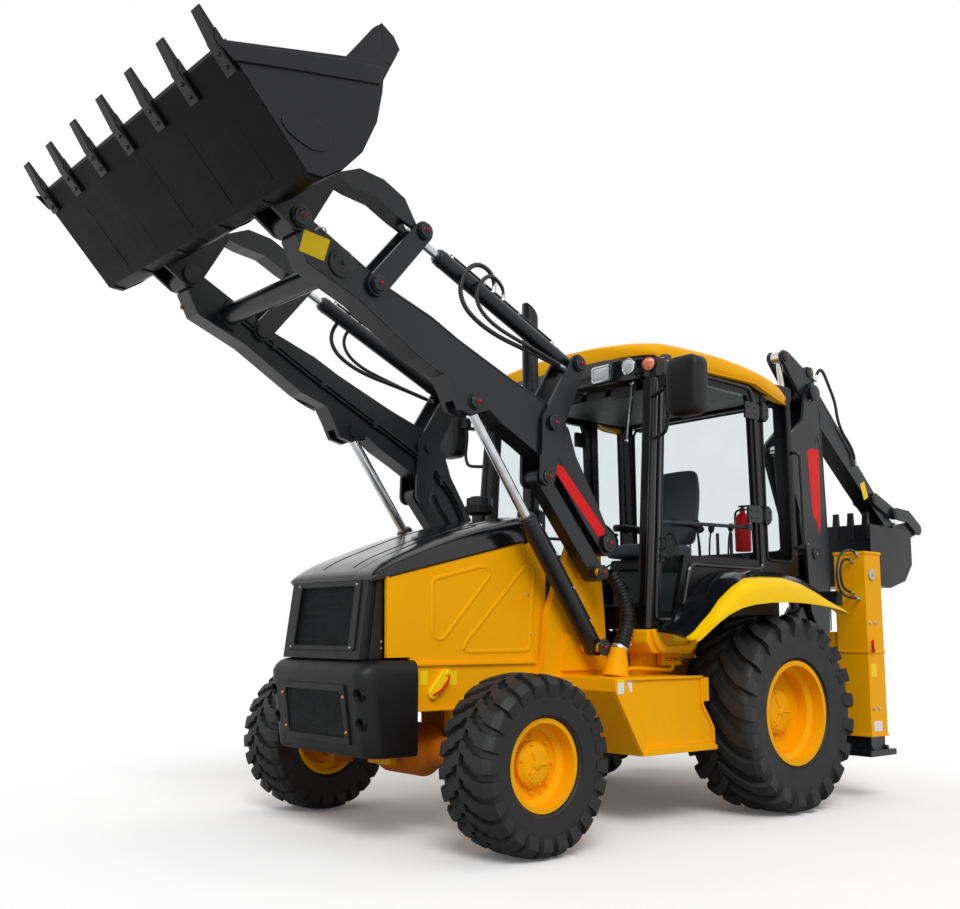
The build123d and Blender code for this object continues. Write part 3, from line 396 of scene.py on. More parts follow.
@dataclass(frozen=True)
class Moulding(Finish):
    """Moulded plastic with a fine grain."""

    grain: float = 900.0
    depth: float = 0.25
    edge: float = 0.004
    coat: float = 0.0
    shine: float = 0.3

    def build(self, graph: Graph) -> None:
        """Builds the plastic.

        Args:
            graph: the material's empty graph.
        """
        colour = self.varied(graph, 2.5, 0.10)
        grain = graph.add("ShaderNodeTexVoronoi", None, {"Vector": graph.place(), "Scale": self.grain})
        normal = graph.bump(grain, self.depth, 0.0005, graph.rounded(self.edge))
        gloss = graph.band(graph.noise(9.0, 4.0), 0.3, 0.7, self.roughness - 0.05, self.roughness + 0.05)
        graph.surface(
            Base_Color=colour,
            Roughness=gloss,
            Coat_Weight=self.coat,
            Coat_Roughness=0.08,
            Specular_IOR_Level=self.shine,
            Normal=normal,
        )


@dataclass(frozen=True)
class TyreRubber(Finish):
    """Black rubber, greyer where it has touched the ground."""

    def build(self, graph: Graph) -> None:
        """Builds the rubber.

        Args:
            graph: the material's empty graph.
        """
        mottle = graph.band(graph.noise(7.0, 6.0), 0.35, 0.7)
        colour = graph.mix(mottle, linear(*self.colour), linear(27, 28, 29))
        fine = graph.noise(120.0, 5.0)
        normal = graph.bump(fine, 0.25, 0.002)
        graph.surface(Base_Color=colour, Roughness=graph.band(mottle, 0.0, 1.0, 0.55, 0.75), Normal=normal)


@dataclass(frozen=True)
class Metal(Finish):
    """Bare or plated metal, with fine turning marks."""

    marks: float = 0.15
    metallic: float = 1.0

    def build(self, graph: Graph) -> None:
        """Builds the metal.

        Args:
            graph: the material's empty graph.
        """
        marks = graph.noise(1.0, 4.0, graph.stretched(60, 420, 420))
        stain = graph.band(graph.noise(12.0, 5.0), 0.4, 0.75)
        base = linear(*self.colour)
        dull = tuple(c * 0.72 for c in base[:3]) + (1.0,)
        graph.surface(
            Base_Color=graph.mix(stain, base, dull),
            Metallic=self.metallic,
            Roughness=graph.band(stain, 0.0, 1.0, self.roughness, self.roughness + 0.12),
            Normal=graph.bump(marks, self.marks, 0.0004, graph.rounded(0.0015)),
        )


@dataclass(frozen=True)
class Pane(Finish):
    """Tinted safety glass, clear from in front and mirror-like at a slant."""

    clear: Point = (248, 250, 250)

    def build(self, graph: Graph) -> None:
        """Builds the glass.

        Args:
            graph: the material's empty graph.
        """
        through = graph.add("ShaderNodeBsdfTransparent", None, {"Color": linear(*self.clear)})
        gloss = graph.add(
            "ShaderNodeBsdfPrincipled",
            None,
            {"Base Color": linear(*self.colour), "Roughness": self.roughness},
        )
        slant = graph.add("ShaderNodeFresnel", None, {"IOR": 1.45})
        smear = graph.band(graph.noise(3.0, 4.0), 0.45, 0.8, 0.0, 0.03)
        front = 1 - graph.add("ShaderNodeNewGeometry").of("Backfacing")
        mixed = graph.add(
            "ShaderNodeMixShader", None, {0: (slant * 0.7 + smear) * front, 1: through, 2: gloss}
        )
        graph.add("ShaderNodeOutputMaterial", None, {"Surface": mixed})


@dataclass(frozen=True)
class Upholstery(Finish):
    """Woven seat cloth."""

    def build(self, graph: Graph) -> None:
        """Builds the cloth.

        Args:
            graph: the material's empty graph.
        """
        across, along, height = graph.axes()
        weft = (along + height * 0.7).wave(0.0042)
        warp = across.wave(0.0042)
        weave = weft * warp
        colour = graph.mix(graph.band(weave, -1.0, 1.0), linear(48, 50, 53), linear(*self.colour))
        normal = graph.bump(weave, 0.35, 0.0008)
        graph.surface(Base_Color=colour, Roughness=self.roughness, Sheen_Weight=0.25, Normal=normal)


@dataclass(frozen=True)
class Lens(Finish):
    """A ribbed lamp lens; light mottling in its colour is a painted reflection of the bright reflector behind
    it.
    """

    def build(self, graph: Graph) -> None:
        """Builds the lens.

        Args:
            graph: the material's empty graph.
        """
        across, _, height = graph.axes()
        ribs = across.wave(0.009) * 0.5 + height.wave(0.018) * 0.5
        # Near-white mottling mixed into the lens colour: a painted reflection of the lamp's reflector.
        colour = graph.mix(
            graph.band(graph.noise(60.0), 0.35, 0.7), linear(*self.colour), linear(235, 235, 232)
        )
        graph.surface(
            Base_Color=graph.mix(0.75, colour, linear(*self.colour)),
            Roughness=self.roughness,
            Metallic=0.35,
            Coat_Weight=1.0,
            Normal=graph.bump(ribs, 0.5, 0.002),
        )


@dataclass(frozen=True)
class HoseCover(Finish):
    """Rubber hose and the coils of its guard."""

    def build(self, graph: Graph) -> None:
        """Builds the hose cover.

        Args:
            graph: the material's empty graph.
        """
        colour = self.varied(graph, 30.0, 0.25)
        fine = graph.noise(500.0, 2.0)
        graph.surface(Base_Color=colour, Roughness=self.roughness, Normal=graph.bump(fine, 0.2, 0.0006))


YELLOW = SprayPaint("yellow_enamel", (248, 173, 0), 0.36, coat=0.0, dust=0.10, shine=0.07)
# The yellow enamel made darker and more orange for the axles and knuckles: painted shade, as they sit in
# shadow under the machine.
AXLE_PAINTED_SHADE_YELLOW = SprayPaint("axle_painted_shade_enamel", (196, 104, 4), 0.45, coat=0.0, dust=0.25, shine=0.07)
BLACK = SprayPaint("black_enamel", (20, 22, 26), 0.32, coat=0.08, dust=0.03, wear_and_highlight=0.35, shine=0.36)
CAB_BLACK = SprayPaint("cab_enamel", (11, 11, 12), 0.3, coat=0.05, dust=0.02, wear_and_highlight=0.1, shine=0.2)
DARK = SprayPaint("bucket_enamel", (19, 20, 24), 0.34, coat=0.04, dust=0.02, wear_and_highlight=0.4, shine=0.3)
WEAR_PLATE = SprayPaint("wear_plate", (9, 9, 8), 0.42, coat=0.0, dust=0.01, wear_and_highlight=0.15, shine=0.08)
ROOF_YELLOW = Moulding("yellow_moulding", (248, 176, 0), 0.36, grain=700.0, depth=0.05, coat=0.0, shine=0.08)
FENDER = Moulding("fender_moulding", (253, 204, 0), 0.3, grain=600.0, depth=0.03, coat=0.04, shine=0.1)
HOOD_BLACK = Moulding("hood_moulding", (12, 13, 16), 0.2, grain=500.0, depth=0.03, edge=0.004, coat=0.5)
GRAIN_BLACK = Moulding("bumper_moulding", (14, 15, 17), 0.46, grain=650.0, depth=0.35, edge=0.007)
TRIM_BLACK = Moulding("trim_moulding", (14, 15, 16), 0.48, grain=900.0, depth=0.2)
TRIM_GREY = Moulding("console_moulding", (62, 64, 66), 0.55, grain=900.0, depth=0.25)
RUBBER = TyreRubber("tyre_compound", (12, 13, 14), 0.65)
SEAL = Moulding("rubber_seal", (9, 9, 10), 0.6, grain=600.0, depth=0.1)
CHROME = Metal("chrome_plate", (214, 216, 218), 0.08, marks=0.03)
STEEL = Metal("bare_steel", (120, 120, 118), 0.32, marks=0.2)
PIPE_STEEL = Metal("plated_pipe", (52, 54, 56), 0.35, marks=0.05, metallic=0.8)
BRASS = Metal("brass_plating", (206, 172, 96), 0.28, marks=0.1)
IRON = Metal("cast_iron", (48, 49, 49), 0.55, marks=0.3, metallic=0.6)
GLASS = Pane("window_pane", (8, 9, 10), 0.03)
CLOTH = Upholstery("seat_cloth", (86, 89, 93), 0.85)
HOSE = HoseCover("hose_cover", (14, 14, 15), 0.5)
GUARD = HoseCover("spiral_guard", (18, 19, 21), 0.4)
RED = SprayPaint("red_enamel", (222, 16, 18), 0.4, dust=0.0, edge=0.001)
FILM_YELLOW = SprayPaint("yellow_film", (250, 214, 10), 0.4, dust=0.0, edge=0.0005)
FILM_WHITE = SprayPaint("white_film", (226, 228, 226), 0.4, dust=0.0, edge=0.0005)
CLEAR_LENS = Lens("clear_lens", (190, 194, 196), 0.12)
AMBER_LENS = Lens("amber_lens", (232, 96, 10), 0.15)
RED_LENS = Lens("red_lens", (170, 14, 12), 0.15)
MIRROR_FACE = Metal("mirror_face", (225, 228, 230), 0.02, marks=0.0)


# ---------------------------------------------------------------- shapes
class Form:
    """A mesh in the making, in machine millimetres."""

    def __init__(self) -> None:
        """Starts with nothing."""
        self.points: list[Vector] = []
        self.faces: list[tuple[int, ...]] = []

    def add(self, points: Iterable[Sequence[float]], faces: Iterable[Sequence[int]]) -> "Form":
        """Adds loose points and the faces between them.

        Args:
            points: the points.
            faces: faces, as numbers of those points.

        Returns:
            The form itself.
        """
        start = len(self.points)
        self.points += [Vector(p) for p in points]
        self.faces += [tuple(start + i for i in face) for face in faces]
        return self

    def prism(self, outline: Sequence[Sequence[float]], push: Sequence[float]) -> "Form":
        """A closed outline pushed along a vector.

        Args:
            outline: the outline's points.
            push: the vector.

        Returns:
            The form itself.
        """
        count = len(outline)
        far = [Vector(p) + Vector(push) for p in outline]
        sides = [(i, (i + 1) % count, (i + 1) % count + count, i + count) for i in range(count)]
        ends = [tuple(reversed(range(count))), tuple(range(count, 2 * count))]
        return self.add([*outline, *far], sides + ends)

    def plate(self, outline: Sequence[Pair], x0: float, x1: float, corner: float = 0.0) -> "Form":
        """An outline of (y, z) points between two planes across the machine.

        Args:
            outline: the outline.
            x0: the first plane's X.
            x1: the second plane's X.
            corner: how far from each corner its rounding starts.

        Returns:
            The form itself.
        """
        line = rounded_outline(outline, corner) if corner else outline
        return self.prism([(x0, y, z) for y, z in line], (x1 - x0, 0, 0))

    def block(self, low: Point, high: Point) -> "Form":
        """A box between two corners."""
        outline = [(low[1], low[2]), (high[1], low[2]), (high[1], high[2]), (low[1], high[2])]
        return self.plate(outline, low[0], high[0])

    def rings(
        self, rings: Sequence[Sequence[Sequence[float]]], closed: bool = False, ends: bool = True
    ) -> "Form":
        """Skins rings of equal length one after the other.

        Args:
            rings: the rings of points.
            closed: joins the last ring to the first.
            ends: fills the first and last ring.

        Returns:
            The form itself.
        """
        size = len(rings[0])
        faces = []
        for row in range(len(rings) if closed else len(rings) - 1):
            a, b = row * size, (row + 1) % len(rings) * size
            faces += [(a + i, a + (i + 1) % size, b + (i + 1) % size, b + i) for i in range(size)]
        if ends and not closed:
            last = (len(rings) - 1) * size
            faces += [tuple(reversed(range(size))), tuple(range(last, last + size))]
        return self.add([p for ring in rings for p in ring], faces)

    def tube(
        self, path: Sequence[Sequence[float]], radius: Callable[[float], float] | float, sides: int = 12
    ) -> "Form":
        """A round tube along a path; the radius may change along its length.

        Args:
            path: the points of the path.
            radius: the radius, or its value at a distance along the path.
            sides: facets round it.

        Returns:
            The form itself.
        """
        line = [Vector(p) for p in path]
        side, travelled, rings = None, 0.0, []
        for index, point in enumerate(line):
            ahead = (line[min(index + 1, len(line) - 1)] - line[max(index - 1, 0)]).normalized()
            if side is None:
                side = ahead.orthogonal().normalized()
            side = (side - ahead * side.dot(ahead)).normalized()
            up = ahead.cross(side)
            if index:
                travelled += (point - line[index - 1]).length
            size = radius(travelled) if callable(radius) else radius
            turns = [2 * math.pi * i / sides for i in range(sides)]
            rings.append([point + (side * math.cos(t) + up * math.sin(t)) * size for t in turns])
        return self.rings(rings)

    def bent(self, points: Sequence[Sequence[float]], steps: int, radius: float, sides: int) -> "Form":
        """A round bar bent smoothly through points.

        Args:
            points: the points.
            steps: pieces between two of them.
            radius: the bar's radius.
            sides: facets round it.

        Returns:
            The form itself.
        """
        return self.tube(smooth_line(points, steps), radius, sides)

    def turned(
        self, profile: Sequence[Pair], centre: Sequence[float], axis: Sequence[float], sides: int = 24
    ) -> "Form":
        """A (distance along the axis, radius) profile turned about an axis.

        Args:
            profile: the profile's points.
            centre: the axis's zero point.
            axis: the axis's direction.
            sides: facets round it.

        Returns:
            The form itself.
        """
        ahead = Vector(axis).normalized()
        side = ahead.orthogonal().normalized()
        up = ahead.cross(side)
        rings = []
        for along, radius in profile:
            middle = Vector(centre) + ahead * along
            turns = [2 * math.pi * i / sides for i in range(sides)]
            rings.append(
                [middle + (side * math.cos(t) + up * math.sin(t)) * max(radius, 0.05) for t in turns]
            )
        return self.rings(rings)

    def bolt(
        self, head: Sequence[float], axis: Sequence[float], size: float = 10.0, washer: bool = True
    ) -> "Form":
        """A hexagon bolt head on its washer.

        Args:
            head: the point under the head.
            axis: the direction out of the surface.
            size: the head's half width.
            washer: whether it has a washer.

        Returns:
            The form itself.
        """
        if washer:
            self.turned([(-1, size), (size * 0.25, size), (size * 0.3, size * 0.9)], head, axis, 16)
        profile = [(0, size * 0.8), (size * 0.8, size * 0.8), (size * 0.95, size * 0.68)]
        return self.turned(profile, head, axis, 6)

    def both(self) -> "Form":
        """Adds the mirror image on the machine's other side.

        Returns:
            The form itself.
        """
        count = len(self.points)
        self.points += [Vector((-p.x, p.y, p.z)) for p in self.points]
        self.faces += [tuple(count + i for i in reversed(face)) for face in self.faces]
        return self


def stadium(centre: Pair, half_long: float, half_high: float, corner: float, steps: int = 5) -> list[Pair]:
    """A rectangle with round corners, as (a, b) points.

    Args:
        centre: the rectangle's middle.
        half_long: half its length along a.
        half_high: half its height along b.
        corner: the corners' radius.
        steps: facets in each corner.

    Returns:
        The outline.
    """
    points = []
    for quarter, (sx, sy) in enumerate(((1, 1), (-1, 1), (-1, -1), (1, -1))):
        for step in range(steps + 1):
            turn = math.pi / 2 * (quarter + step / steps)
            points.append((
                centre[0] + sx * (half_long - corner) + corner * math.cos(turn),
                centre[1] + sy * (half_high - corner) + corner * math.sin(turn),
            ))
    return points


def rounded_outline(corners: Sequence[Pair], radius: float, steps: int = 5) -> list[Pair]:
    """An outline's corners rounded off.

    Args:
        corners: the sharp corners.
        radius: how far from a corner its rounding starts.
        steps: facets in each corner.

    Returns:
        The rounded outline.
    """
    count, result = len(corners), []
    for index in range(count):
        before, here, after = (Vector(corners[(index + k) % count]) for k in (-1, 0, 1))
        start = here + (before - here).normalized() * radius
        end = here + (after - here).normalized() * radius
        for step in range(steps + 1):
            t = step / steps
            spot = start * (1 - t) ** 2 + here * 2 * t * (1 - t) + end * t * t
            result.append((spot.x, spot.y))
    return result


def smooth_line(points: Sequence[Sequence[float]], steps: int = 6) -> list[Vector]:
    """A smooth line through points on a pressed panel or a bent bar.

    Args:
        points: the points that it goes through.
        steps: pieces between two of them.

    Returns:
        The line's points.
    """
    line = [Vector(p) for p in points]
    result = []
    for index in range(len(line) - 1):
        p0, p1 = line[max(index - 1, 0)], line[index]
        p2, p3 = line[index + 1], line[min(index + 2, len(line) - 1)]
        for step in range(steps):
            t = step / steps
            result.append(0.5 * (
                2 * p1 + (p2 - p0) * t + (2 * p0 - 5 * p1 + 4 * p2 - p3) * t * t
                + (3 * p1 - p0 - 3 * p2 + p3) * t ** 3
            ))
    return [*result, line[-1]]


class Slot(Enum):
    """The record's material slots."""

    YELLOW = "yellow_paint"
    BLACK = "black_paint"
    DARK = "dark_paint"
    STEEL = "bare_steel"
    CHROME = "chrome_rod"
    RUBBER = "tyre_rubber"
    HOOD = "hood_plastic"
    TRIM = "trim_plastic"
    PLASTIC = "yellow_plastic"
    GLASS = "window_glass"
    CLOTH = "seat_fabric"


class Assembly:
    """A sub-assembly: it makes its pieces and reports each."""

    def piece(
        self,
        name: str,
        form: Form,
        finish: Finish,
        slot: Slot,
        body: str = "chassis",
        bevel: float = 0.0,
        smooth: float = 38.0,
        rounds: int = 0,
        replaces: Sequence[str] = (),
    ) -> bpy.types.Object:
        """slot: the record's slot for its finish; not used.
            body: the body that it rides on.
            bevel: width of its rounded edges in millimetres.
            smooth: the angle in degrees above which an edge stays crisp.
            rounds: levels of subdivision.
            replaces: the CAD nodes that it stands for.

        Returns:
            The piece.
        """
        mesh = bpy.data.meshes.new(name)
        mesh.from_pydata([metres(p) for p in form.points], [], form.faces)
        mesh.validate()
        mesh.shade_smooth()
        if rounds == 0:
            mesh.set_sharp_from_angle(angle=math.radians(smooth))
        mesh.materials.append(finish.material())
        obj = bpy.data.objects.new(name, mesh)
        bpy.context.scene.collection.objects.link(obj)
        if rounds:
            obj.modifiers.new("round", "SUBSURF").render_levels = rounds
            obj.modifiers["round"].levels = rounds
        if bevel:
            rounding = obj.modifiers.new("edges", "BEVEL")
            rounding.width, rounding.segments = bevel / 1000, 2
            rounding.limit_method, rounding.angle_limit = "ANGLE", math.radians(smooth)
        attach(obj, body)
        if replaces:
            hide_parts(*replaces)
        LOG.info("%s: %s with %d faces on %s", type(self).__name__, name, len(form.faces), body)
        return obj


# ---------------------------------------------------------------- wheels
class Tread(Enum):
    """The two lug patterns: (place across, trailing offset, width, height) as shares."""

    FRONT = (
        (-0.04, 0.00, 0.5, 0.9), (0.22, 0.16, 0.52, 1.0), (0.26, 0.34, 0.56, 1.0), (0.52, 0.50, 0.58, 1.0),
        (0.56, 0.62, 0.62, 1.0), (0.88, 0.74, 0.66, 1.0), (1.0, 0.76, 0.68, 0.98), (1.22, 0.78, 0.66, 0.42),
        (1.34, 0.78, 0.6, 0.08)
    )
    REAR = (
        (-0.03, 0.00, 0.34, 0.9), (0.1, 0.2, 0.4, 1.0), (0.4, 0.62, 0.44, 1.0), (0.72, 0.96, 0.46, 1.0),
        (0.92, 1.1, 0.5, 1.0), (1.0, 1.14, 0.52, 0.98), (1.2, 1.18, 0.5, 0.4), (1.32, 1.18, 0.44, 0.08)
    )


@dataclass
class Wheel(Assembly):
    """One wheel: tyre carcass with its lugs, wheel nuts, hub cap and valve."""

    name: str
    tread: Tread
    outer: float
    width: float
    flange: float
    rim_width: float
    hub: float
    lugs: int
    lug_height: float
    nuts: int
    sides: int = 96
    centre: Vector = field(init=False)
    side: float = field(init=False)

    def __post_init__(self) -> None:
        """Takes the wheel's middle from its CAD tyre."""
        low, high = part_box(self.name + "_tyre")
        middle = (low + high) / 2
        self.centre = Vector((middle.x * 1000, (middle.y - AXLE_Y) * 1000, middle.z * 1000))
        self.side = 1.0 if middle.x > 0 else -1.0

    def section(self) -> list[Pair]:
        """Half the carcass outline from the crown to the bead: (place across, radius).

        Returns:
            The outline's points.
        """
        half, base = self.width / 2, self.outer - self.lug_height
        middle = (self.flange + self.outer) / 2
        return [
            (0.0, base), (half * 0.45, base - 1.5), (half * 0.74, base - 6), (half * 0.88, base - 13),
            (half * 0.955, base - 27), (half * 0.985, base - 50), (half, middle), (half * 0.985, middle - 28),
            (half * 0.93, self.flange + 26), (half * 0.93, self.flange + 20), (half * 0.88, self.flange + 17),
            (half * 0.83, self.flange + 6), (self.rim_width / 2 - 11, self.flange + 3),
            (self.rim_width / 2 - 11, self.flange - 13),
        ]

    def spot(self, along: float) -> tuple[Pair, Pair]:
        """The carcass point and outward direction at a share of the crown's half width.

        Args:
            along: the share, also past 1 and down the sidewall.

        Returns:
            The point and the direction.
        """
        outline = self.section()
        left = abs(along) * self.width / 2
        for (a, ra), (b, rb) in zip(outline, outline[1:]):
            length = math.hypot(b - a, rb - ra)
            if left <= length:
                share = left / length
                out = ((ra - rb) / length, (b - a) / length)
                return (a + (b - a) * share, ra + (rb - ra) * share), out
            left -= length
        return outline[-1], (1.0, 0.0)

    def at(self, across: float, radius: float, turn: float) -> Point:
        """A machine point on the wheel.

        Args:
            across: distance from the wheel's middle plane.
            radius: distance from its axis.
            turn: the angle from straight up.

        Returns:
            The point.
        """
        y, z = -math.sin(turn) * radius, math.cos(turn) * radius
        return (self.centre.x + across, self.centre.y + y, self.centre.z + z)

    def lug(self, form: Form, turn: float, half: float) -> None:
        """Adds one lug: a stepped bar from the crown to the shoulder.

        Args:
            form: the form that takes the lug.
            turn: its place round the wheel.
            half: 1 for the wheel's left half, -1 for its right.
        """
        pitch = 2 * math.pi / self.lugs
        rings = []
        for across, offset, width, height in self.tread.value:
            (x, radius), (out_x, out_r) = self.spot(across)
            x, out_x = x * (1 if across >= 0 else -1) * half, out_x * half
            middle = turn + offset * pitch
            top = self.lug_height * height
            ring = []
            for share, lift in ((-0.56, -4.0), (-0.47, top), (0.0, top + 0.6), (0.47, top), (0.56, -4.0)):
                ring.append(self.at(
                    x + out_x * lift, min(radius + out_r * lift, self.outer), middle + share * width * pitch
                ))
            rings.append(ring if half > 0 else list(reversed(ring)))
        form.rings(rings)

    def build(self) -> None:
        """Builds the tyre and the wheel's small parts."""
        outline = self.section()
        whole = [(-x, r) for x, r in reversed(outline)] + outline[1:]
        rings = []
        for index in range(self.sides):
            turn = 2 * math.pi * index / self.sides
            rings.append([self.at(x, r, turn) for x, r in whole])
        tyre = Form().rings(rings, closed=True)
        for index in range(self.lugs):
            turn = 2 * math.pi * index / self.lugs
            self.lug(tyre, turn, 1.0)
            self.lug(tyre, turn + math.pi / self.lugs, -1.0)
        body = self.name + "_wheel"
        self.piece(
            self.name + "_tread", tyre, RUBBER, Slot.RUBBER, body, smooth=32, replaces=[self.name + "_tyre"]
        )
        self.small_parts(body)

    def small_parts(self, body: str) -> None:
        """Wheel nuts, hub cap with its ribs and plug, and the valve.

        Args:
            body: the body that they ride on.
        """
        out = (self.side, 0, 0)
        nuts = Form()
        for index in range(self.nuts):
            turn = 2 * math.pi * index / self.nuts
            nuts.bolt(self.at(self.side * 28, self.hub + 27, turn), out, 13)
            nuts.turned([(8, 7), (22, 7), (24, 5.5)], self.at(self.side * 28, self.hub + 27, turn), out, 12)
        face = 75.0
        cap = Form().turned([
            (face - 2, self.hub - 22), (face + 4, self.hub - 24), (face + 7, self.hub - 32), (face + 7, 0)
        ], self.centre, out, 40)
        cap.turned([(face + 5, 26), (face + 13, 26), (face + 16, 22), (face + 16, 0)], self.centre, out, 24)
        for index in range(3):
            turn = 2 * math.pi * index / 3 + 0.5
            foot = self.at(self.side * (face + 9), 22, turn)
            tip = self.at(self.side * (face + 9), self.hub - 40, turn)
            cap.tube([foot, tip], 6, 8)
        cap.bolt(self.at(self.side * (face + 5), self.hub - 52, 2.2), out, 11)
        for index in range(6):
            cap.bolt(self.at(self.side * (face - 1), self.hub - 11, index * math.pi / 3 + 0.3), out, 7)
        self.piece(self.name + "_nuts", nuts, YELLOW, Slot.YELLOW, body, bevel=0.6)
        self.piece(self.name + "_hub_cap", cap, YELLOW, Slot.YELLOW, body, bevel=1.2)
        valve = Form().tube([
            self.at(self.side * 60, self.flange - 62, 0.9), self.at(self.side * 95, self.flange - 74, 0.9)
        ], 5, 10)
        self.piece(self.name + "_valve", valve, BRASS, Slot.STEEL, body)


FRONT_WHEEL: dict[str, float] = {
    "outer": 460.5, "width": 350, "flange": 237, "rim_width": 280, "hub": 115, "lugs": 24, "lug_height": 27,
    "nuts": 8,
}
REAR_WHEEL: dict[str, float] = {
    "outer": 626, "width": 470, "flange": 329, "rim_width": 410, "hub": 140, "lugs": 21, "lug_height": 38,
    "nuts": 10,
}


# ---------------------------------------------------------------- front end
@dataclass
class FrontEnd(Assembly):
    """Grille mesh, bezel and core, and the bumper's mesh, slats, bolts and cups."""

    lean: float = 0.1432
    grille: tuple[float, float, float] = (275, 1050, 1372)
    guard: tuple[float, float, float] = (320, 530, 850)
    guard_lean: float = 0.1469
    pitch: float = 15.0
    wire: float = 1.5

    def grille_y(self, z: float, depth: float = 0.0) -> float:
        """Y of the leaning grille face at a height."""
        return -2892 + self.lean * (z - 994) + depth

    def guard_y(self, z: float, depth: float = 0.0) -> float:
        """Y of the bumper recess's floor at a height."""
        return -2865 - self.guard_lean * (z - 530) + depth

    def mesh(
        self, half: float, low: float, high: float, face: Callable[[float, float], float], depth: float
    ) -> Form:
        """Diamond wire mesh that fills a leaning rectangle.

        Args:
            half: half its width.
            low: its lower edge.
            high: its upper edge.
            face: Y of the face at a height and a depth.
            depth: how far behind the face it lies.

        Returns:
            The mesh.
        """
        form, height = Form(), high - low
        reach = half * 2 + height
        for slope in (1, -1):
            offset = self.pitch / 2
            while offset < reach:
                start, end = max(0.0, offset - height), min(offset, half * 2)
                ends = []
                for across in (start, end):
                    x = (across - half) * slope
                    z = low + (offset - across)
                    ends.append((x, face(z, depth + (0.9 if slope > 0 else -0.9)), z))
                if end - start > 4:
                    form.tube(ends, self.wire, 4)
                offset += self.pitch
        return form

    def frame(
        self, outer: Sequence[Pair], inner: Sequence[Pair], face: Callable[[float, float], float],
        proud: float, thick: float
    ) -> Form:
        """A flat ring between two outlines on a leaning face.

        Args:
            outer: the outer outline, as (x, z).
            inner: the inner outline.
            face: Y of the face at a height and a depth.
            proud: how far it stands out.
            thick: its thickness.

        Returns:
            The ring.
        """
        def ring(points: Sequence[Pair], depth: float) -> list[Point]:
            """The outline laid on the leaning face."""
            return [(x, face(z, depth), z) for x, z in points]
        rings = [
            ring(inner, thick - proud), ring(inner, -proud), ring(outer, -proud), ring(outer, thick - proud)
        ]
        return Form().rings(rings, closed=True)

    def build(self) -> None:
        """Builds the nose."""
        half, low, high = self.grille
        mesh = self.mesh(half + 4, low - 4, high + 4, self.grille_y, 8)
        self.piece("grille_mesh", mesh, PIPE_STEEL, Slot.BLACK)
        outer = [(-334, 1026), (334, 1026), (318, 1398), (-318, 1398)]
        inner = [(-half, low), (half, low), (half - 6, high), (-half + 6, high)]
        bezel = self.frame(rounded_outline(outer, 16), rounded_outline(inner, 16), self.grille_y, 9, 16)
        self.piece("grille_bezel", bezel, GRAIN_BLACK, Slot.TRIM, bevel=2.5)
        bolts = Form()
        for x, z in ((298, 1042), (288, 1382)):
            bolts.bolt((x, self.grille_y(z, -9), z), (0, -1, 0.14), 7)
        self.piece("grille_bolts", bolts.both(), STEEL, Slot.STEEL)
        core = Form().block((-300, -2800, 1000), (300, -2770, 1385))
        for row in range(24):
            z = 1055 + row * 13
            core.block((-296, -2806, z), (296, -2800, z + 3))
        self.piece("radiator_core", core, IRON, Slot.BLACK)
        self.lower()

    def lower(self) -> None:
        """The bumper's mesh, its bezel, slats, bolts and deep round recesses."""
        half, low, high = self.guard
        mesh = self.mesh(half - 34, low + 32, high - 32, self.guard_y, -26)
        self.piece("bumper_mesh", mesh, PIPE_STEEL, Slot.BLACK)
        outer = [(-half + 3, low + 3), (half - 3, low + 3), (half - 3, high - 3), (-half + 3, high - 3)]
        inner = [
            (-half + 40, low + 38), (half - 40, low + 38), (half - 46, high - 38), (-half + 46, high - 38)
        ]
        bezel = self.frame(rounded_outline(outer, 14), rounded_outline(inner, 18), self.guard_y, 34, 30)
        self.piece("bumper_bezel", bezel, GRAIN_BLACK, Slot.TRIM, bevel=2.5)
        slats = Form()
        for row in range(5):
            z = low + 62 + row * 49
            outline = [
                (self.guard_y(z, -18), z), (self.guard_y(z, -6), z + 16), (self.guard_y(z, -3), z + 16),
                (self.guard_y(z, -15), z)
            ]
            slats.plate(outline, -half + 38, half - 38)
        self.piece("bumper_slats", slats, TRIM_BLACK, Slot.TRIM, bevel=0.8)
        bolts = Form()
        for x, z in ((303, 785), (300, 600)):
            bolts.bolt((x, self.guard_y(z, -34), z), (0, -1, -0.15), 9)
        self.piece("bumper_bolts", bolts.both(), BRASS, Slot.STEEL)
        cups = Form()
        for x, z in ((419, 797), (412, 645)):
            y = -2893 - 0.154 * (z - 645)
            cups.turned(
                [(46, 37), (-1, 37), (-3, 35), (-1, 32), (30, 26), (30, 0)], (x, y - 2, z), (0, 1, 0.15), 28
            )
        self.piece("bumper_cups", cups.both(), TRIM_BLACK, Slot.TRIM)


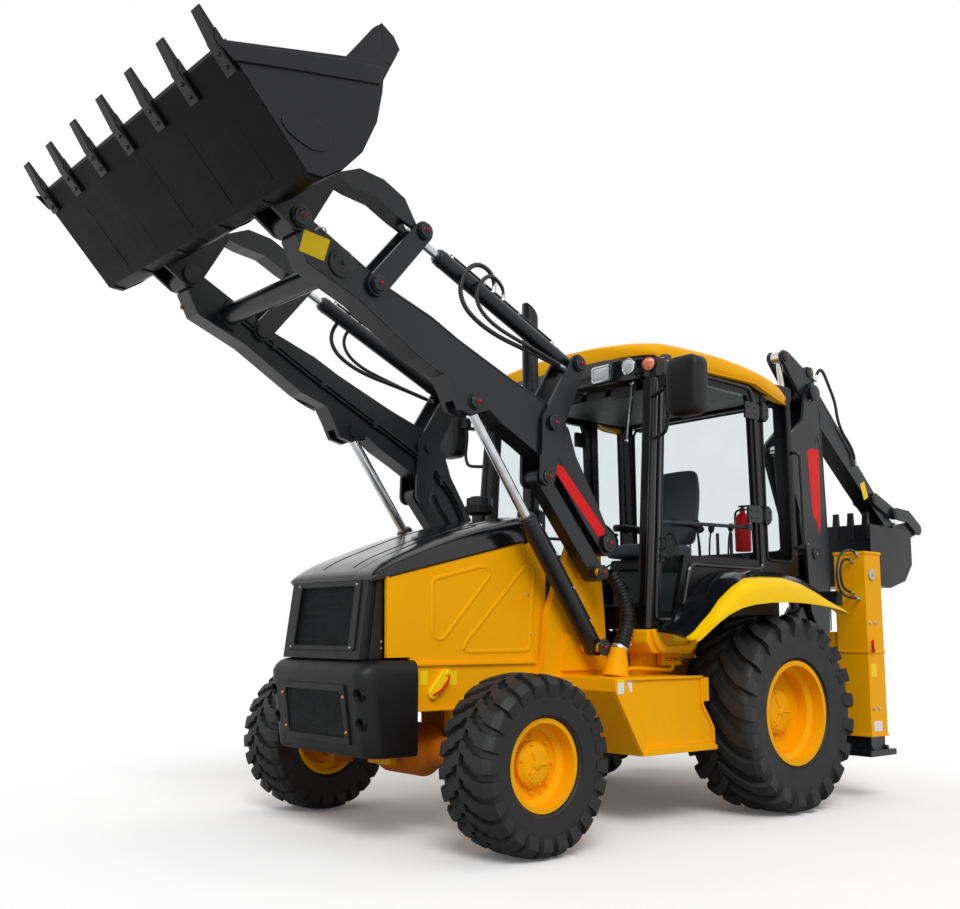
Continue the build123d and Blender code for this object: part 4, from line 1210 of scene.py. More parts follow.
@dataclass
class EngineCover(Assembly):
    """Sculpted hood with a raised middle, and the ribs pressed in the side panels."""

    crown: tuple[Pair, ...] = (
        (-2834, 1424), (-2826, 1440), (-2795, 1466), (-2690, 1527), (-2500, 1603), (-2300, 1678),
        (-2100, 1740), (-1900, 1789), (-1700, 1828)
    )
    low_front: Pair = (-2834, 1406)
    low_rear: Pair = (-1735, 1669)
    half: float = 441.0
    quad: tuple[Pair, ...] = ((-2437, 1418), (-2055, 1510), (-2000, 1462), (-2370, 1080), (-2437, 1105))
    triangle: tuple[Pair, ...] = ((-1722, 1528), (-1660, 1500), (-1700, 1022), (-2210, 1018), (-2205, 1060))

    def section(self, y: float, top: float) -> list[Point]:
        """One cross section of the hood from the left lower edge to the right.

        Args:
            y: its place along the machine.
            top: the crown's height there.

        Returns:
            The section's points.
        """
        share = (y - self.low_front[0]) / (self.low_rear[0] - self.low_front[0])
        low = self.low_front[1] + min(share, 1.03) * (self.low_rear[1] - self.low_front[1])
        low = min(low, top - 12)
        rise = top - low
        nose = max(0.0, 1 - (y + 2834) / 160)
        half = self.half - 26 * nose * nose
        side = [
            (half - 10, 0.0), (half, 0.02), (half, 0.36), (half - 3, 0.52), (half - 13, 0.68),
            (half - 34, 0.81), (half - 66, 0.9), (half - 110, 0.945), (half - 172, 0.962),
            (half - 180, 0.966), (half - 190, 0.99), (half - 198, 0.996), (half - 300, 1.0), (0, 1.004)
        ]
        left = [(x, y, low + rise * z) for x, z in side]
        return left + [(-x, yy, zz) for x, yy, zz in reversed(left[:-1])]

    def build(self) -> None:
        """Builds hood, creases, ribs, bolts and seal."""
        line = smooth_line([(0, y, z) for y, z in self.crown], 4)
        outer = [self.section(p.y, p.z) for p in line]
        inner = [[
            (x * 0.975, y + (6 if i < 3 else 0), z - 12) for x, y, z in ring
        ] for i, ring in enumerate(outer)]
        loops = [[*o, *reversed(n)] for o, n in zip(outer, inner)]
        hood = Form().rings(loops)
        self.piece(
            "hood_skin", hood, HOOD_BLACK, Slot.HOOD, "engine_hood", smooth=50, replaces=["engine_hood"]
        )
        lines = Form()
        for x in (150.0, 255.0):
            path = [(x, p.y, p.z + (1.0 if x < 200 else -4)) for p in line[9:-6]]
            lines.tube(path, 2.2, 6)
        self.piece("hood_creases", lines.both(), HOOD_BLACK, Slot.HOOD, "engine_hood")
        ribs = Form()
        for outline in (self.quad, self.triangle):
            loop = rounded_outline(outline, 34, 6)
            rings = []
            count = len(loop)
            for index in range(count):
                a, b = loop[index - 1], loop[(index + 1) % count]
                length = math.hypot(b[0] - a[0], b[1] - a[1]) or 1.0
                ny, nz = (b[1] - a[1]) / length, -(b[0] - a[0]) / length
                y, z = loop[index]
                rings.append([
                    (432 + h, y + ny * w, z + nz * w)
                    for w, h in ((-15, -0.5), (-9, 3.2), (0, 5.0), (9, 3.2), (15, -0.5))
                ])
            ribs.rings(rings, closed=True)
        self.piece("panel_ribs", ribs.both(), YELLOW, Slot.YELLOW, smooth=60)
        trim = Form()
        for z in (1040, 1075):
            trim.bolt((399, -2762, z), ACROSS, 6)
        trim.bolt((432, -1715, 1350), ACROSS, 9).bolt((432, -1695, 1120), ACROSS, 9)
        self.piece("panel_bolts", trim.both(), STEEL, Slot.STEEL)
        seam = Form().tube([(434, -2744, 1421), (434, -1748, 1661)], 3.5, 6)
        self.piece("hood_seal", seam.both(), SEAL, Slot.TRIM)


# ---------------------------------------------------------------- chassis
@dataclass
class Chassis(Assembly):
    """Rail flanges, tow hooks, drive shafts, stacks and blank plates."""

    rail_out: float = 440.0

    def build(self) -> None:
        """Builds the chassis dressing."""
        rails = Form()
        for z in (708, 952):
            rails.block((self.rail_out, -2570, z - 7), (self.rail_out + 16, -1665, z + 7))
        self.piece("rail_flanges", rails.both(), YELLOW, Slot.YELLOW, bevel=2)
        self.hooks()
        self.underside()
        self.stacks()

    def hooks(self) -> None:
        """Yellow tow hooks with red safety catches, and blank plates beside them."""
        hook = Form().plate([
            (-2470, 770), (-2440, 765), (-2330, 880), (-2335, 925), (-2375, 925), (-2480, 800)
        ], 440, 462, corner=10)
        hook.turned([(0, 16), (26, 16), (28, 13)], (440, -2352, 902), ACROSS, 16)
        self.piece("tow_hooks", hook.both(), FILM_YELLOW, Slot.YELLOW, bevel=3)
        catch = Form().tube(
            [(464, -2455, 786), (468, -2400, 812), (466, -2345, 870), (462, -2340, 900)], 6, 8
        )
        self.piece("hook_catches", catch.both(), RED, Slot.YELLOW)
        film = Form()
        for y0, y1, z0, z1 in ((-2528, -2475, 842, 918), (-2322, -2266, 836, 914)):
            film.plate(stadium(((y0 + y1) / 2, (z0 + z1) / 2), (y1 - y0) / 2, (z1 - z0) / 2, 5), 440, 440.8)
        self.piece("blank_plates_yellow", film.both(), FILM_YELLOW, Slot.YELLOW)

    def underside(self) -> None:
        """Drive shafts, gearbox and steering cylinder."""
        form = Form()
        form.tube([(0, -2010, 520), (0, -1250, 640)], 34, 20)
        form.tube([(0, -560, 680), (0, -170, 630)], 38, 20)
        for y, z in ((-1990, 522), (-1265, 640), (-545, 680), (-185, 632)):
            form.turned([(-30, 52), (-20, 58), (20, 58), (30, 52)], (0, y, z), (0, 1, 0.15), 20)
        self.piece("drive_shafts", form, IRON, Slot.STEEL)
        gearbox = Form().plate([
            (-1540, 700), (-1500, 1120), (-1100, 1110), (-900, 980), (-620, 900), (-560, 700), (-700, 560),
            (-1300, 540)
        ], -230, 230, corner=40)
        for index in range(6):
            gearbox.block((-236, -1440 + index * 130, 620), (236, -1424 + index * 130, 1000))
        self.piece("gearbox", gearbox, IRON, Slot.STEEL, bevel=8)
        ram = Form().tube([(-260, -2110, 500), (260, -2110, 500)], 38, 20)
        ram.turned(
            [(-10, 44), (10, 44)], (-250, -2110, 500), ACROSS, 20
        ).turned([(-10, 44), (10, 44)], (250, -2110, 500), ACROSS, 20)
        self.piece("steering_ram", ram, BLACK, Slot.BLACK)

    def stacks(self) -> None:
        """Clamps and heat shield of the exhaust stack, and the pre-cleaner's bowl."""
        shield = Form().turned([(0, 53), (1, 55), (520, 55), (521, 53)], (180, -1440, 2180), UP, 36)
        for z in (2200, 2660):
            shield.turned([(0, 55), (2, 58), (18, 58), (20, 55)], (180, -1440, z), UP, 36)
            shield.block((172, -1502, z + 2), (188, -1480, z + 18)).bolt(
                (172, -1494, z + 10), (-1, 0, 0), 6, False
            )
        shield.turned([(0, 53), (2, 90), (380, 90), (400, 53)], (180, -1440, 1500), UP, 36)
        self.piece("exhaust_shield", shield, BLACK, Slot.BLACK, smooth=30)
        bowl = Form().turned([
            (-20, 56), (-8, 88), (-4, 92), (40, 92), (44, 88), (52, 70), (96, 66), (104, 56), (106, 0)
        ], (-180, -1560, 1898), UP, 36)
        for index in range(18):
            turn = index * math.pi / 9
            x, y = -180 + 92 * math.cos(turn), -1560 + 92 * math.sin(turn)
            bowl.block((x - 3, y - 3, 1900), (x + 3, y + 3, 1936))
        self.piece("pre_cleaner", bowl, TRIM_BLACK, Slot.TRIM, bevel=1)


# ---------------------------------------------------------------- hoses
@dataclass
class Hose(Assembly):
    """A hydraulic hose on a smooth line, with its end fittings."""

    name: str
    route: tuple[Point, ...]
    body: str
    diameter: float = 22.0
    guarded: bool = True

    def spline(self) -> bpy.types.Object:
        """The hose as a round curve.

        Returns:
            The curve, without thickness yet.
        """
        curve = bpy.data.curves.new(self.name, "CURVE")
        curve.dimensions = "3D"
        line = curve.splines.new("NURBS")
        line.points.add(len(self.route) - 1)
        for point, spot in zip(line.points, self.route):
            point.co = (*metres(spot), 1.0)
        line.order_u = 3
        line.use_endpoint_u = True
        line.resolution_u = 10
        curve.bevel_depth = 0.0
        obj = bpy.data.objects.new(self.name, curve)
        bpy.context.scene.collection.objects.link(obj)
        return obj

    def line(self, obj: bpy.types.Object) -> list[Vector]:
        """The points of the hose's smooth line in machine millimetres.

        Args:
            obj: the hose's curve.

        Returns:
            The points.
        """
        mesh = bpy.data.meshes.new_from_object(obj)
        points = [Vector((v.co.x * 1000, (v.co.y - AXLE_Y) * 1000, v.co.z * 1000)) for v in mesh.vertices]
        bpy.data.meshes.remove(mesh)
        return points

    def build(self) -> None:
        """Builds the hose, its guard and its fittings."""
        obj = self.spline()
        line = self.line(obj)
        obj.data.bevel_depth = self.diameter / 2000
        obj.data.bevel_resolution = 3
        obj.data.materials.append(HOSE.material())
        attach(obj, self.body)
        ends = Form()
        for spot, ahead in ((line[0], line[1] - line[0]), (line[-1], line[-2] - line[-1])):
            r = self.diameter / 2
            ends.turned([
                (-4, r * 0.9), (0, r * 1.25), (12, r * 1.25), (14, r * 1.12), (48, r * 1.12), (50, r)
            ], spot, ahead, 12)
            ends.turned([(-6, r * 1.45), (8, r * 1.45)], spot, ahead, 6)
        fittings = self.piece(self.name + "_fittings", ends, STEEL, Slot.STEEL, self.body, smooth=30)
        if self.guarded:
            self.piece(self.name + "_guard", self.guard(line), GUARD, Slot.TRIM, self.body, smooth=60)
        metres(self.route[0])
        self.diameter / 1000

    def guard(self, line: Sequence[Vector], pitch: float = 14.0, bare: float = 60.0) -> Form:
        """The coiled guard over the hose between its fittings.

        Args:
            line: the hose's smooth line.
            pitch: distance between its coils.
            bare: the length at each end that it leaves free.

        Returns:
            The guard.
        """
        dense = [a.lerp(b, t / 4) for a, b in zip(line, line[1:]) for t in range(4)]
        travelled = 0.0
        total = sum((b - a).length for a, b in zip(dense, dense[1:]))
        kept = []
        for a, b in zip(dense, dense[1:]):
            if bare < travelled < total - bare:
                kept.append(a)
            travelled += (b - a).length
        r = self.diameter / 2
        return Form().tube(kept, lambda s: r + 2.2 + 1.4 * math.sin(2 * math.pi * s / pitch), 10)


# ---------------------------------------------------------------- loader linkage
@dataclass(frozen=True)
class Pivot(Assembly):
    """A linkage pin's end cap with its lock bolt and grease plug, on both arms."""

    name: str
    place: Pair
    radius: float
    face: float
    body: str

    def build(self) -> None:
        """Builds the caps and plugs."""
        y, z = self.place
        r = self.radius
        out = ACROSS
        cap = Form().turned([
            (0.4, r), (7, r), (10, r - 3), (10, r * 0.62), (14, r * 0.55), (14, 0)
        ], (self.face, y, z), out, 36)
        cap.bolt((self.face + 9, y + r * 0.2, z + r * 0.72), out, 7, False)
        self.piece(self.name + "_caps", cap.both(), BLACK, Slot.DARK, self.body, bevel=1.0)
        plug = Form().turned([(0, 8), (5, 8), (7, 6), (16, 5.5), (19, 4)], (self.face + 13, y, z), out, 16)
        self.piece(self.name + "_plugs", plug.both(), RED, Slot.STEEL, self.body)


@dataclass(frozen=True)
class Ram(Assembly):
    """Gland nut, wiper ring, ports and pipe on a hydraulic cylinder's barrel."""

    name: str
    base: Pair
    eye: Pair
    across: float
    barrel: float
    rod: float
    end: float
    side: float = -1.0
    pair: bool = False

    def at(self, along: float, up: float, x: float = 0.0) -> Point:
        """A point by its distance along the axis and above it.

        Args:
            along: distance along the axis from its base.
            up: distance above it.
            x: distance across from its plane.

        Returns:
            The point.
        """
        run = Vector(self.eye) - Vector(self.base)
        run.normalize()
        y = self.base[0] + run.x * along - run.y * up * self.side
        z = self.base[1] + run.y * along + run.x * up * self.side
        return (self.across + x, y, z)

    def build(self) -> None:
        """Builds the fittings of the barrel."""
        tip = Vector(self.at(1, 0)) - Vector(self.at(0, 0))
        r = self.barrel
        gland = Form().turned([
            (-2, r - 1), (20, r - 1), (23, r - 4), (23, r - 9), (34, r - 10), (36, self.rod + 5),
            (36, self.rod + 0.6)
        ], self.at(self.end, 0), tip, 40)
        for index in range(4):
            turn = index * math.pi / 2 + 0.4
            gland.turned(
                [(0, 3.5), (9, 3.5)], Vector(self.at(self.end + 4, 0)) + self.ring(turn, r - 8),
                self.ring(turn, 1.0), 10
            )
        bands = Form()
        for along in (self.end * 0.12, self.end - 24):
            bands.turned([(0, r), (1, r + 2.2), (15, r + 2.2), (16, r)], self.at(along, 0), tip, 40)
        low, high = self.end * 0.16, self.end - 70
        pipe = r + 17
        line = smooth_line([
            self.at(low, r - 4), self.at(low, r + 8), self.at(low + 6, pipe), self.at(low + 24, pipe + 2),
            self.at((low + high) / 2, pipe + 2), self.at(high - 24, pipe + 2), self.at(high - 6, pipe),
            self.at(high, r + 8), self.at(high, r - 4)
        ], 5)
        tube = Form().tube(line, 7.5, 12)
        ports = Form()
        for along in (low, high):
            ports.turned([(r - 6, 15), (r + 7, 15), (r + 8, 13)], self.at(along, 0), self.out_at(along), 20)
            ports.turned([(r + 6, 11.5), (r + 17, 11.5)], self.at(along, 0), self.out_at(along), 6)
        for share in (0.35, 0.7):
            along = low + (high - low) * share
            ports.turned([(-9, 11), (9, 11)], self.at(along, pipe + 2), tip, 16)
            ports.turned([(0, 6), (16, 6)], self.at(along, r - 2), self.out_at(along), 10)
        fittings = (
            ("gland", gland, BLACK, Slot.DARK),
            ("bands", bands, BLACK, Slot.DARK),
            ("pipe", tube, PIPE_STEEL, Slot.STEEL),
            ("ports", ports, STEEL, Slot.STEEL),
        )
        for label, form, finish, slot in fittings:
            self.piece(self.name + "_" + label, form.both() if self.pair else form, finish, slot, self.name)

    def out_at(self, along: float) -> Vector:
        """The direction square to the axis in which the pipe lies."""
        return Vector(self.at(along, 1)) - Vector(self.at(along, 0))

    def ring(self, turn: float, radius: float) -> Vector:
        """A vector out from the axis at a turn round it.

        Args:
            turn: the turn.
            radius: the vector's length.

        Returns:
            The vector.
        """
        run = (Vector(self.eye) - Vector(self.base)).normalized()
        up = Vector((0, -run.y, run.x))
        return (Vector(ACROSS) * math.cos(turn) + up * math.sin(turn)) * radius


@dataclass
class LoaderArms(Assembly):
    """Stripe, blank plate, bosses, edge seams, pipes and clamps of the lift arms."""

    outer: float = 660.0
    line_x: float = 508.0
    pivot: Pair = (-1259.0, 1667.0)
    hinge: Pair = (-3498.0, 3176.0)
    upper_edge: tuple[Pair, ...] = (
        (2374, 85), (2107, 114), (1793, 194), (1585, 223), (1153, 310), (927, 368), (760, 395)
    )
    lower_edge: tuple[Pair, ...] = ((1539, 1), (1727, -52), (2194, -81), (2530, -150))

    def at(self, u: float, v: float) -> Pair:
        """A (y, z) point along the line of the arm's end pins and above it.

        Args:
            u: distance from the boom's pivot.
            v: distance above the line.

        Returns:
            The point.
        """
        turn = math.atan2(self.hinge[1] - self.pivot[1], self.pivot[0] - self.hinge[0])
        return (
            self.pivot[0] - u * math.cos(turn) + v * math.sin(turn),
            self.pivot[1] + u * math.sin(turn) + v * math.cos(turn)
        )

    def build(self) -> None:
        """Builds the arms' dressing."""
        stripe = [
            (-1745, 2105), (-1700, 2118), (-1640, 2100), (-1450, 1916), (-1284, 1750), (-1290, 1712),
            (-1347, 1705), (-1400, 1762), (-1560, 1922)
        ]
        band = Form().plate(stripe, self.outer, self.outer + 0.8)
        self.piece("arm_stripe", band.both(), RED, Slot.DARK, "loader_boom")
        plates = Form().plate([
            (-3461, 3127), (-3305, 3107), (-3340, 2988), (-3489, 3010)
        ], self.outer, self.outer + 0.9, corner=6)
        self.piece("arm_blank_plate", plates.both(), FILM_YELLOW, Slot.YELLOW, "loader_boom")
        boss = Form().turned([
            (-2, 78), (10, 78), (13, 74), (13, 58), (17, 54), (17, 0)
        ], (self.outer, -3234, 3000), ACROSS, 40)
        boss.bolt((self.outer + 16, -3234, 3000), ACROSS, 14)
        self.piece("arm_boss", boss.both(), BLACK, Slot.DARK, "loader_boom", bevel=1.0)
        seams = Form()
        for edge in (self.upper_edge, self.lower_edge):
            line = smooth_line([(self.outer - 1, *self.at(u, v - (7 if v > 0 else -7))) for u, v in edge], 4)
            seams.tube(line, 5.5, 8)
        ear = smooth_line([(self.outer - 1, *self.at(u, v)) for u, v in (
            (860, 376), (800, 330), (700, 250), (640, 190), (560, 150)
        )], 4)
        seams.tube(ear, 4.5, 8)
        self.piece("arm_welds", seams.both(), BLACK, Slot.DARK, "loader_boom")
        gusset = Form().plate(
            [self.at(2300, 60), self.at(2440, 60), self.at(2440, -80), self.at(2300, -80)], 501, 519
        )
        for sign in (-1, 1):
            gusset.bolt((self.outer, *self.at(2377 + sign * 52, -11 + sign * 20)), ACROSS, 9)
        self.piece("cross_tube_gussets", gusset.both(), BLACK, Slot.DARK, "loader_boom", bevel=2)
        clip = Form().bent([
            (self.outer + 4, -3400, 3135), (self.outer + 18, -3385, 3150), (self.outer + 22, -3350, 3150),
            (self.outer + 6, -3335, 3135)
        ], 4, 4, 8)
        self.piece("arm_clips", clip.both(), STEEL, Slot.STEEL, "loader_boom")
        self.lines()

    def lines(self) -> None:
        """Steel lines along the arms' inner faces and the clamps that hold them."""
        pipes = Form()
        for shift in (0.0, 24.0):
            route = [(self.line_x, *self.at(u, v + shift)) for u, v in (
                (160, 20), (420, 150), (700, 190), (1000, 160), (1400, 110), (1800, 60), (2240, 20),
                (2300, 10)
            )]
            pipes.bent(route, 5, 8, 10)
        self.piece("arm_pipes", pipes.both(), PIPE_STEEL, Slot.STEEL, "loader_boom")
        clamps = Form()
        for u, v in ((560, 172), (1200, 135), (1650, 80), (2050, 36)):
            y, z = self.at(u, v + 12)
            clamps.block((self.line_x - 12, y - 16, z - 28), (self.line_x + 13, y + 16, z + 28))
            clamps.bolt((self.line_x - 12, y, z), (-1, 0, 0), 6)
        self.piece("arm_pipe_clamps", clamps.both(), BLACK, Slot.DARK, "loader_boom", bevel=1.5)


@dataclass
class BucketDress(Assembly):
    """Side strips, guard, ribs, wear plates, skids, tooth shanks and seams of the loader bucket."""

    hinge: Pair = (-3498.0, 3176.0)
    curl: float = 46.6
    half: float = 1125.0

    def at(self, f: float, n: float) -> Pair:
        """A (y, z) point forwards along the floor and above the hinge.

        Args:
            f: distance forwards.
            n: distance above.

        Returns:
            The point.
        """
        a = math.radians(self.curl)
        return (
            self.hinge[0] - f * math.cos(a) + n * math.sin(a),
            self.hinge[1] + f * math.sin(a) + n * math.cos(a)
        )

    def build(self) -> None:
        """Builds the bucket's dressing."""
        edge = Form().plate([
            (-4207, 3664), (-3799, 3748), (-3558, 3803), (-3338, 3839), (-3342, 3750), (-3797, 3666),
            (-4122, 3601)
        ], self.half - 1, self.half + 12)
        self.piece("bucket_side_strips", edge.both(), DARK, Slot.BLACK, "loader_bucket", bevel=3)
        guard = [
            (-3558, 3803), (-3470, 3916), (-3380, 4035), (-3350, 4060), (-3314, 4063), (-3290, 4036),
            (-3236, 3975), (-3234, 3948), (-3286, 3846), (-3333, 3752), (-3367, 3640), (-3410, 3700)
        ]
        hole = Vector((-3264, 3958))
        rounded = [Vector(p) for p in rounded_outline(guard, 12, 3)]
        inner = [hole + (p - hole).normalized() * 15 for p in rounded]
        loops = [[(x, p.x, p.y) for p in line] for x, line in (
            (self.half - 14, inner), (self.half - 14, rounded), (self.half - 2, rounded),
            (self.half - 2, inner)
        )]
        self.piece(
            "bucket_guard_plates", Form().rings(loops, closed=True).both(), DARK, Slot.BLACK,
            "loader_bucket", bevel=1.5
        )
        pads = Form()
        spine = [(205, -156), (172, -150), (122, -103), (97, 26), (108, 202), (176, 373), (271, 505)]
        for x in (-1111, -700, -262, 220, 660, 1069):
            outer = [self.at(f - 3.5, n - 2.5) for f, n in spine]
            inner = [self.at(f + 3, n + 2) for f, n in reversed(spine)]
            pads.plate([*outer, *inner], x, x + 42)
        self.piece("bucket_ribs", pads, WEAR_PLATE, Slot.BLACK, "loader_bucket", bevel=2)
        cover = Form()
        for index, (x0, x1) in enumerate(((-1119, -560), (-566, 6), (0, 566), (560, 1119))):
            proud = 2.0 + 1.2 * (index % 2)
            route = [
                (820, -148, 0, 1), (182, -155, 0.3, 1), (125, -100, 1, 0.6), (100, 30, 1, 0),
                (112, 200, 1, -0.2), (180, 370, 1, -0.5), (275, 500, 0.8, -0.7), (380, 614, 0.7, -0.7)
            ]
            outer = [self.at(f - a * proud, n - b * proud) for f, n, a, b in route]
            inner = [self.at(f + a * 2, n + b * 2) for f, n, a, b in reversed(route)]
            cover.plate([*outer, *inner], x0, x1)
        self.piece("bucket_wear_plates", cover, WEAR_PLATE, Slot.BLACK, "loader_bucket", bevel=0.6)
        skids = Form()
        for x in (-820, -420, 0, 420, 820):
            skids.plate([
                self.at(640, -149), self.at(230, -155), self.at(230, -159), self.at(640, -153)
            ], x - 60, x + 60)
        self.piece("bucket_skids", skids, WEAR_PLATE, Slot.BLACK, "loader_bucket", bevel=2)
        shield = Form()
        outline = [
            (-3886, 3398), (-3862, 3452), (-3761, 3477), (-3630, 3434), (-3612, 3376), (-3644, 3322),
            (-3719, 3308), (-3832, 3348)
        ]
        shield.plate(outline, self.half, self.half + 7, corner=26)
        self.piece("bucket_side_pads", shield.both(), DARK, Slot.BLACK, "loader_bucket", bevel=1.5, smooth=30)
        lip = Form()
        lip.tube([(-self.half + 22, *self.at(474, 727)), (self.half - 22, *self.at(474, 727))], 11, 14)
        self.piece("bucket_guard_bar", lip, DARK, Slot.BLACK, "loader_bucket")
        shanks = Form()
        turn = math.radians(self.curl)
        for index in range(7):
            x = -1065 + index * 355
            for f in (735, 800):
                for n, sign in ((-170, -1), (-134, 1)):
                    shanks.bolt((x, *self.at(f, n)), (0, sign * math.sin(turn), sign * math.cos(turn)), 12)
            for side in (-40, 32):
                shanks.plate([
                    self.at(700, -130), self.at(900, -130), self.at(880, -150), self.at(860, -166),
                    self.at(700, -170)
                ], x + side, x + side + 8)
        self.piece("bucket_tooth_shanks", shanks, DARK, Slot.BLACK, "loader_bucket", bevel=1)
        path = [
            (self.half - 22, *self.at(f + (8 if f < 300 else 0), n + 6))
            for f, n in (
                (700, -134), (200, -140), (146, -92), (122, 30), (134, 196), (200, 361), (292, 488)
            )
        ]
        seams = Form().bent(path, 4, 7, 8)
        self.piece("bucket_welds", seams.both(), DARK, Slot.BLACK, "loader_bucket")


# ---------------------------------------------------------------- cab
@dataclass
class CabShell(Assembly):
    """Lamp panel, window rubbers, mirrors, wiper, rails and lamps on the cab's outside."""

    wall: float = 790.0
    door: tuple[Pair, ...] = (
        (-985, 1205), (-885, 2820), (60, 2800), (110, 2700), (150, 1560), (-640, 1560), (-740, 1205)
    )
    quarter: tuple[Pair, ...] = ((200, 1620), (180, 2780), (480, 2770), (505, 1620))

    def screen_y(self, z: float, proud: float = 0.0) -> float:
        """Y of the leaning windscreen's outer face at a height."""
        return -1034 + (z - 1290) * 98 / 1470 - proud

    def strip(self, form: Form, path: Sequence[Point], radius: float, closed: bool = True) -> None:
        """Adds a round rubber along a path.

        Args:
            form: the form that takes it.
            path: its points.
            radius: its radius.
            closed: whether it runs back to its start.
        """
        line = [*path, path[0], path[1]] if closed else list(path)
        form.tube(line, radius, 8)

    def build(self) -> None:
        """Builds the outside of the cab."""
        self.lamp_panel()
        self.rubbers()
        self.mirrors()
        self.wiper()
        self.handles()
        self.rear()
        self.roof()

    def front_y(self, x: float, proud: float = 0.0) -> float:
        """Y of the lamp panel's bowed face.

        Args:
            x: the place across.
            proud: how far in front of the face.

        Returns:
            Y.
        """
        share = min(abs(x) / 835, 1.0)
        return -1002 + 26 * share ** 2 + 84 * share ** 9 - proud

    def lamp_panel(self) -> None:
        """The black panel under the roof's front edge, with its lamps and shades."""
        rings = []
        for index in range(41):
            x = -832 + 1664 * index / 40
            share = abs(x) / 832
            low = 2716 + 10 * share ** 4
            high = 2905 - 26 * share ** 4
            y = self.front_y(x)
            back = max(y + 70, -925)
            rings.append([
                (x, y + 34, low - 6), (x, y + 10, low + 4), (x, y, low + 30), (x, y - 3, high - 34),
                (x, y + 5, high - 8), (x, y + 24, high), (x, back, high), (x, back, low - 6)
            ])
        self.piece("lamp_panel", Form().rings(rings), HOOD_BLACK, Slot.TRIM, smooth=50)
        spots = {"head": (394.0, 2806.0), "work": (612.0, 2820.0), "turn": (752.0, 2818.0)}
        for name, (x, z) in spots.items():
            self.lamp(name, x, z)
        shades = Form()
        for middle, width, high, low in (
            (110, 130, 2745, 2668), (296, 176, 2745, 2655), (536, 210, 2738, 2630)
        ):
            half = width / 2
            shape = [
                (-half, high), (half, high), (half, low + 26), (half - 22, low), (-half + 22, low),
                (-half, low + 26)
            ]
            for sign in (1, -1):
                outline = [
                    (middle * sign + px, self.screen_y(pz, 5), pz)
                    for px, pz in (shape if sign > 0 else shape[::-1])
                ]
                shades.prism(outline, (0, -5, 0))
        self.piece("screen_shades", shades, TRIM_BLACK, Slot.TRIM, bevel=1.5)

    def lamp(self, name: str, x: float, z: float) -> None:
        """One lamp of each side: bezel, reflector and lens.

        Args:
            name: head, work or turn.
            x: its middle across.
            z: its middle's height.
        """
        y = self.front_y(x)
        ahead = (0.0 if name != "turn" else 0.25, -1.0, 0.0)
        bezel, lens = Form(), Form()
        if name == "head":
            outer, inner = stadium((x, z), 82, 54, 16), stadium((x, z), 72, 44, 12)
            rings = [
                [(a, y + d, b) for a, b in line]
                for line, d in ((outer, 4), (outer, -11), (inner, -13), (inner, -2))
            ]
            bezel.rings(rings, ends=False)
            bezel.prism([(a, y - 1.5, b) for a, b in inner], REARWARD)
            rings = [
                [(x + (a - x) * s, y + d, z + (b - z) * s) for a, b in inner]
                for s, d in ((1, -3), (0.98, -8), (0.8, -13), (0.4, -17), (0.02, -18))
            ]
            lens.rings(rings)
        else:
            r = 47 if name == "work" else 44
            bezel.turned(
                [(-4, r + 8), (9, r + 8), (12, r + 4), (11, r - 1), (4, r - 3)], (x, y, z), ahead, 36
            )
            lens.turned([(2, r), (8, r - 1), (15, r * 0.72), (18, r * 0.35), (19, 0)], (x, y, z), ahead, 36)
        self.piece("lamp_%s_bezels" % name, bezel.both(), CHROME if name != "turn" else TRIM_BLACK, Slot.TRIM)
        self.piece(
            "lamp_%s_lenses" % name, lens.both(), AMBER_LENS if name == "turn" else CLEAR_LENS, Slot.GLASS
        )

    def rubbers(self) -> None:
        """Rubber round the windows and the door frames' proud edges."""
        rubber = Form()
        for z0, z1, half, y in ((1290, 2760, 710, None), (1700, 2760, 680, 560)):
            corners = rounded_outline([(-half, z0), (half, z0), (half, z1), (-half, z1)], 70, 6)
            line = [(
                x, self.screen_y(z, 1) if y is None else 553 + (2760 - z) * 0.0095 - 8, z
            ) for x, z in corners]
            self.strip(rubber, line, 11)
        self.piece("window_rubbers", rubber, SEAL, Slot.TRIM)
        side = Form()
        line = [(self.wall + 1, y, z) for y, z in rounded_outline(self.quarter, 50, 6)]
        self.strip(side, line, 10)
        self.piece("quarter_rubbers", side.both(), SEAL, Slot.TRIM)
        post = Form().bent([
            (self.wall - 14, -1036, 1160), (self.wall - 2, -1018, 1600), (self.wall + 2, -988, 2100),
            (self.wall - 6, -934, 2720)
        ], 6, 24, 14)
        self.piece("corner_posts", post.both(), HOOD_BLACK, Slot.BLACK)
        for name, sign in (("left", 1), ("right", -1)):
            frame = Form()
            outline = rounded_outline([(y + (6 if y < -600 else -6), z) for y, z in self.door], 46, 6)
            line = [(sign * (self.wall - 1), y, z) for y, z in outline]
            self.strip(frame, line, 15)
            self.piece(name + "_door_rubber", frame, HOOD_BLACK, Slot.BLACK, name + "_door")

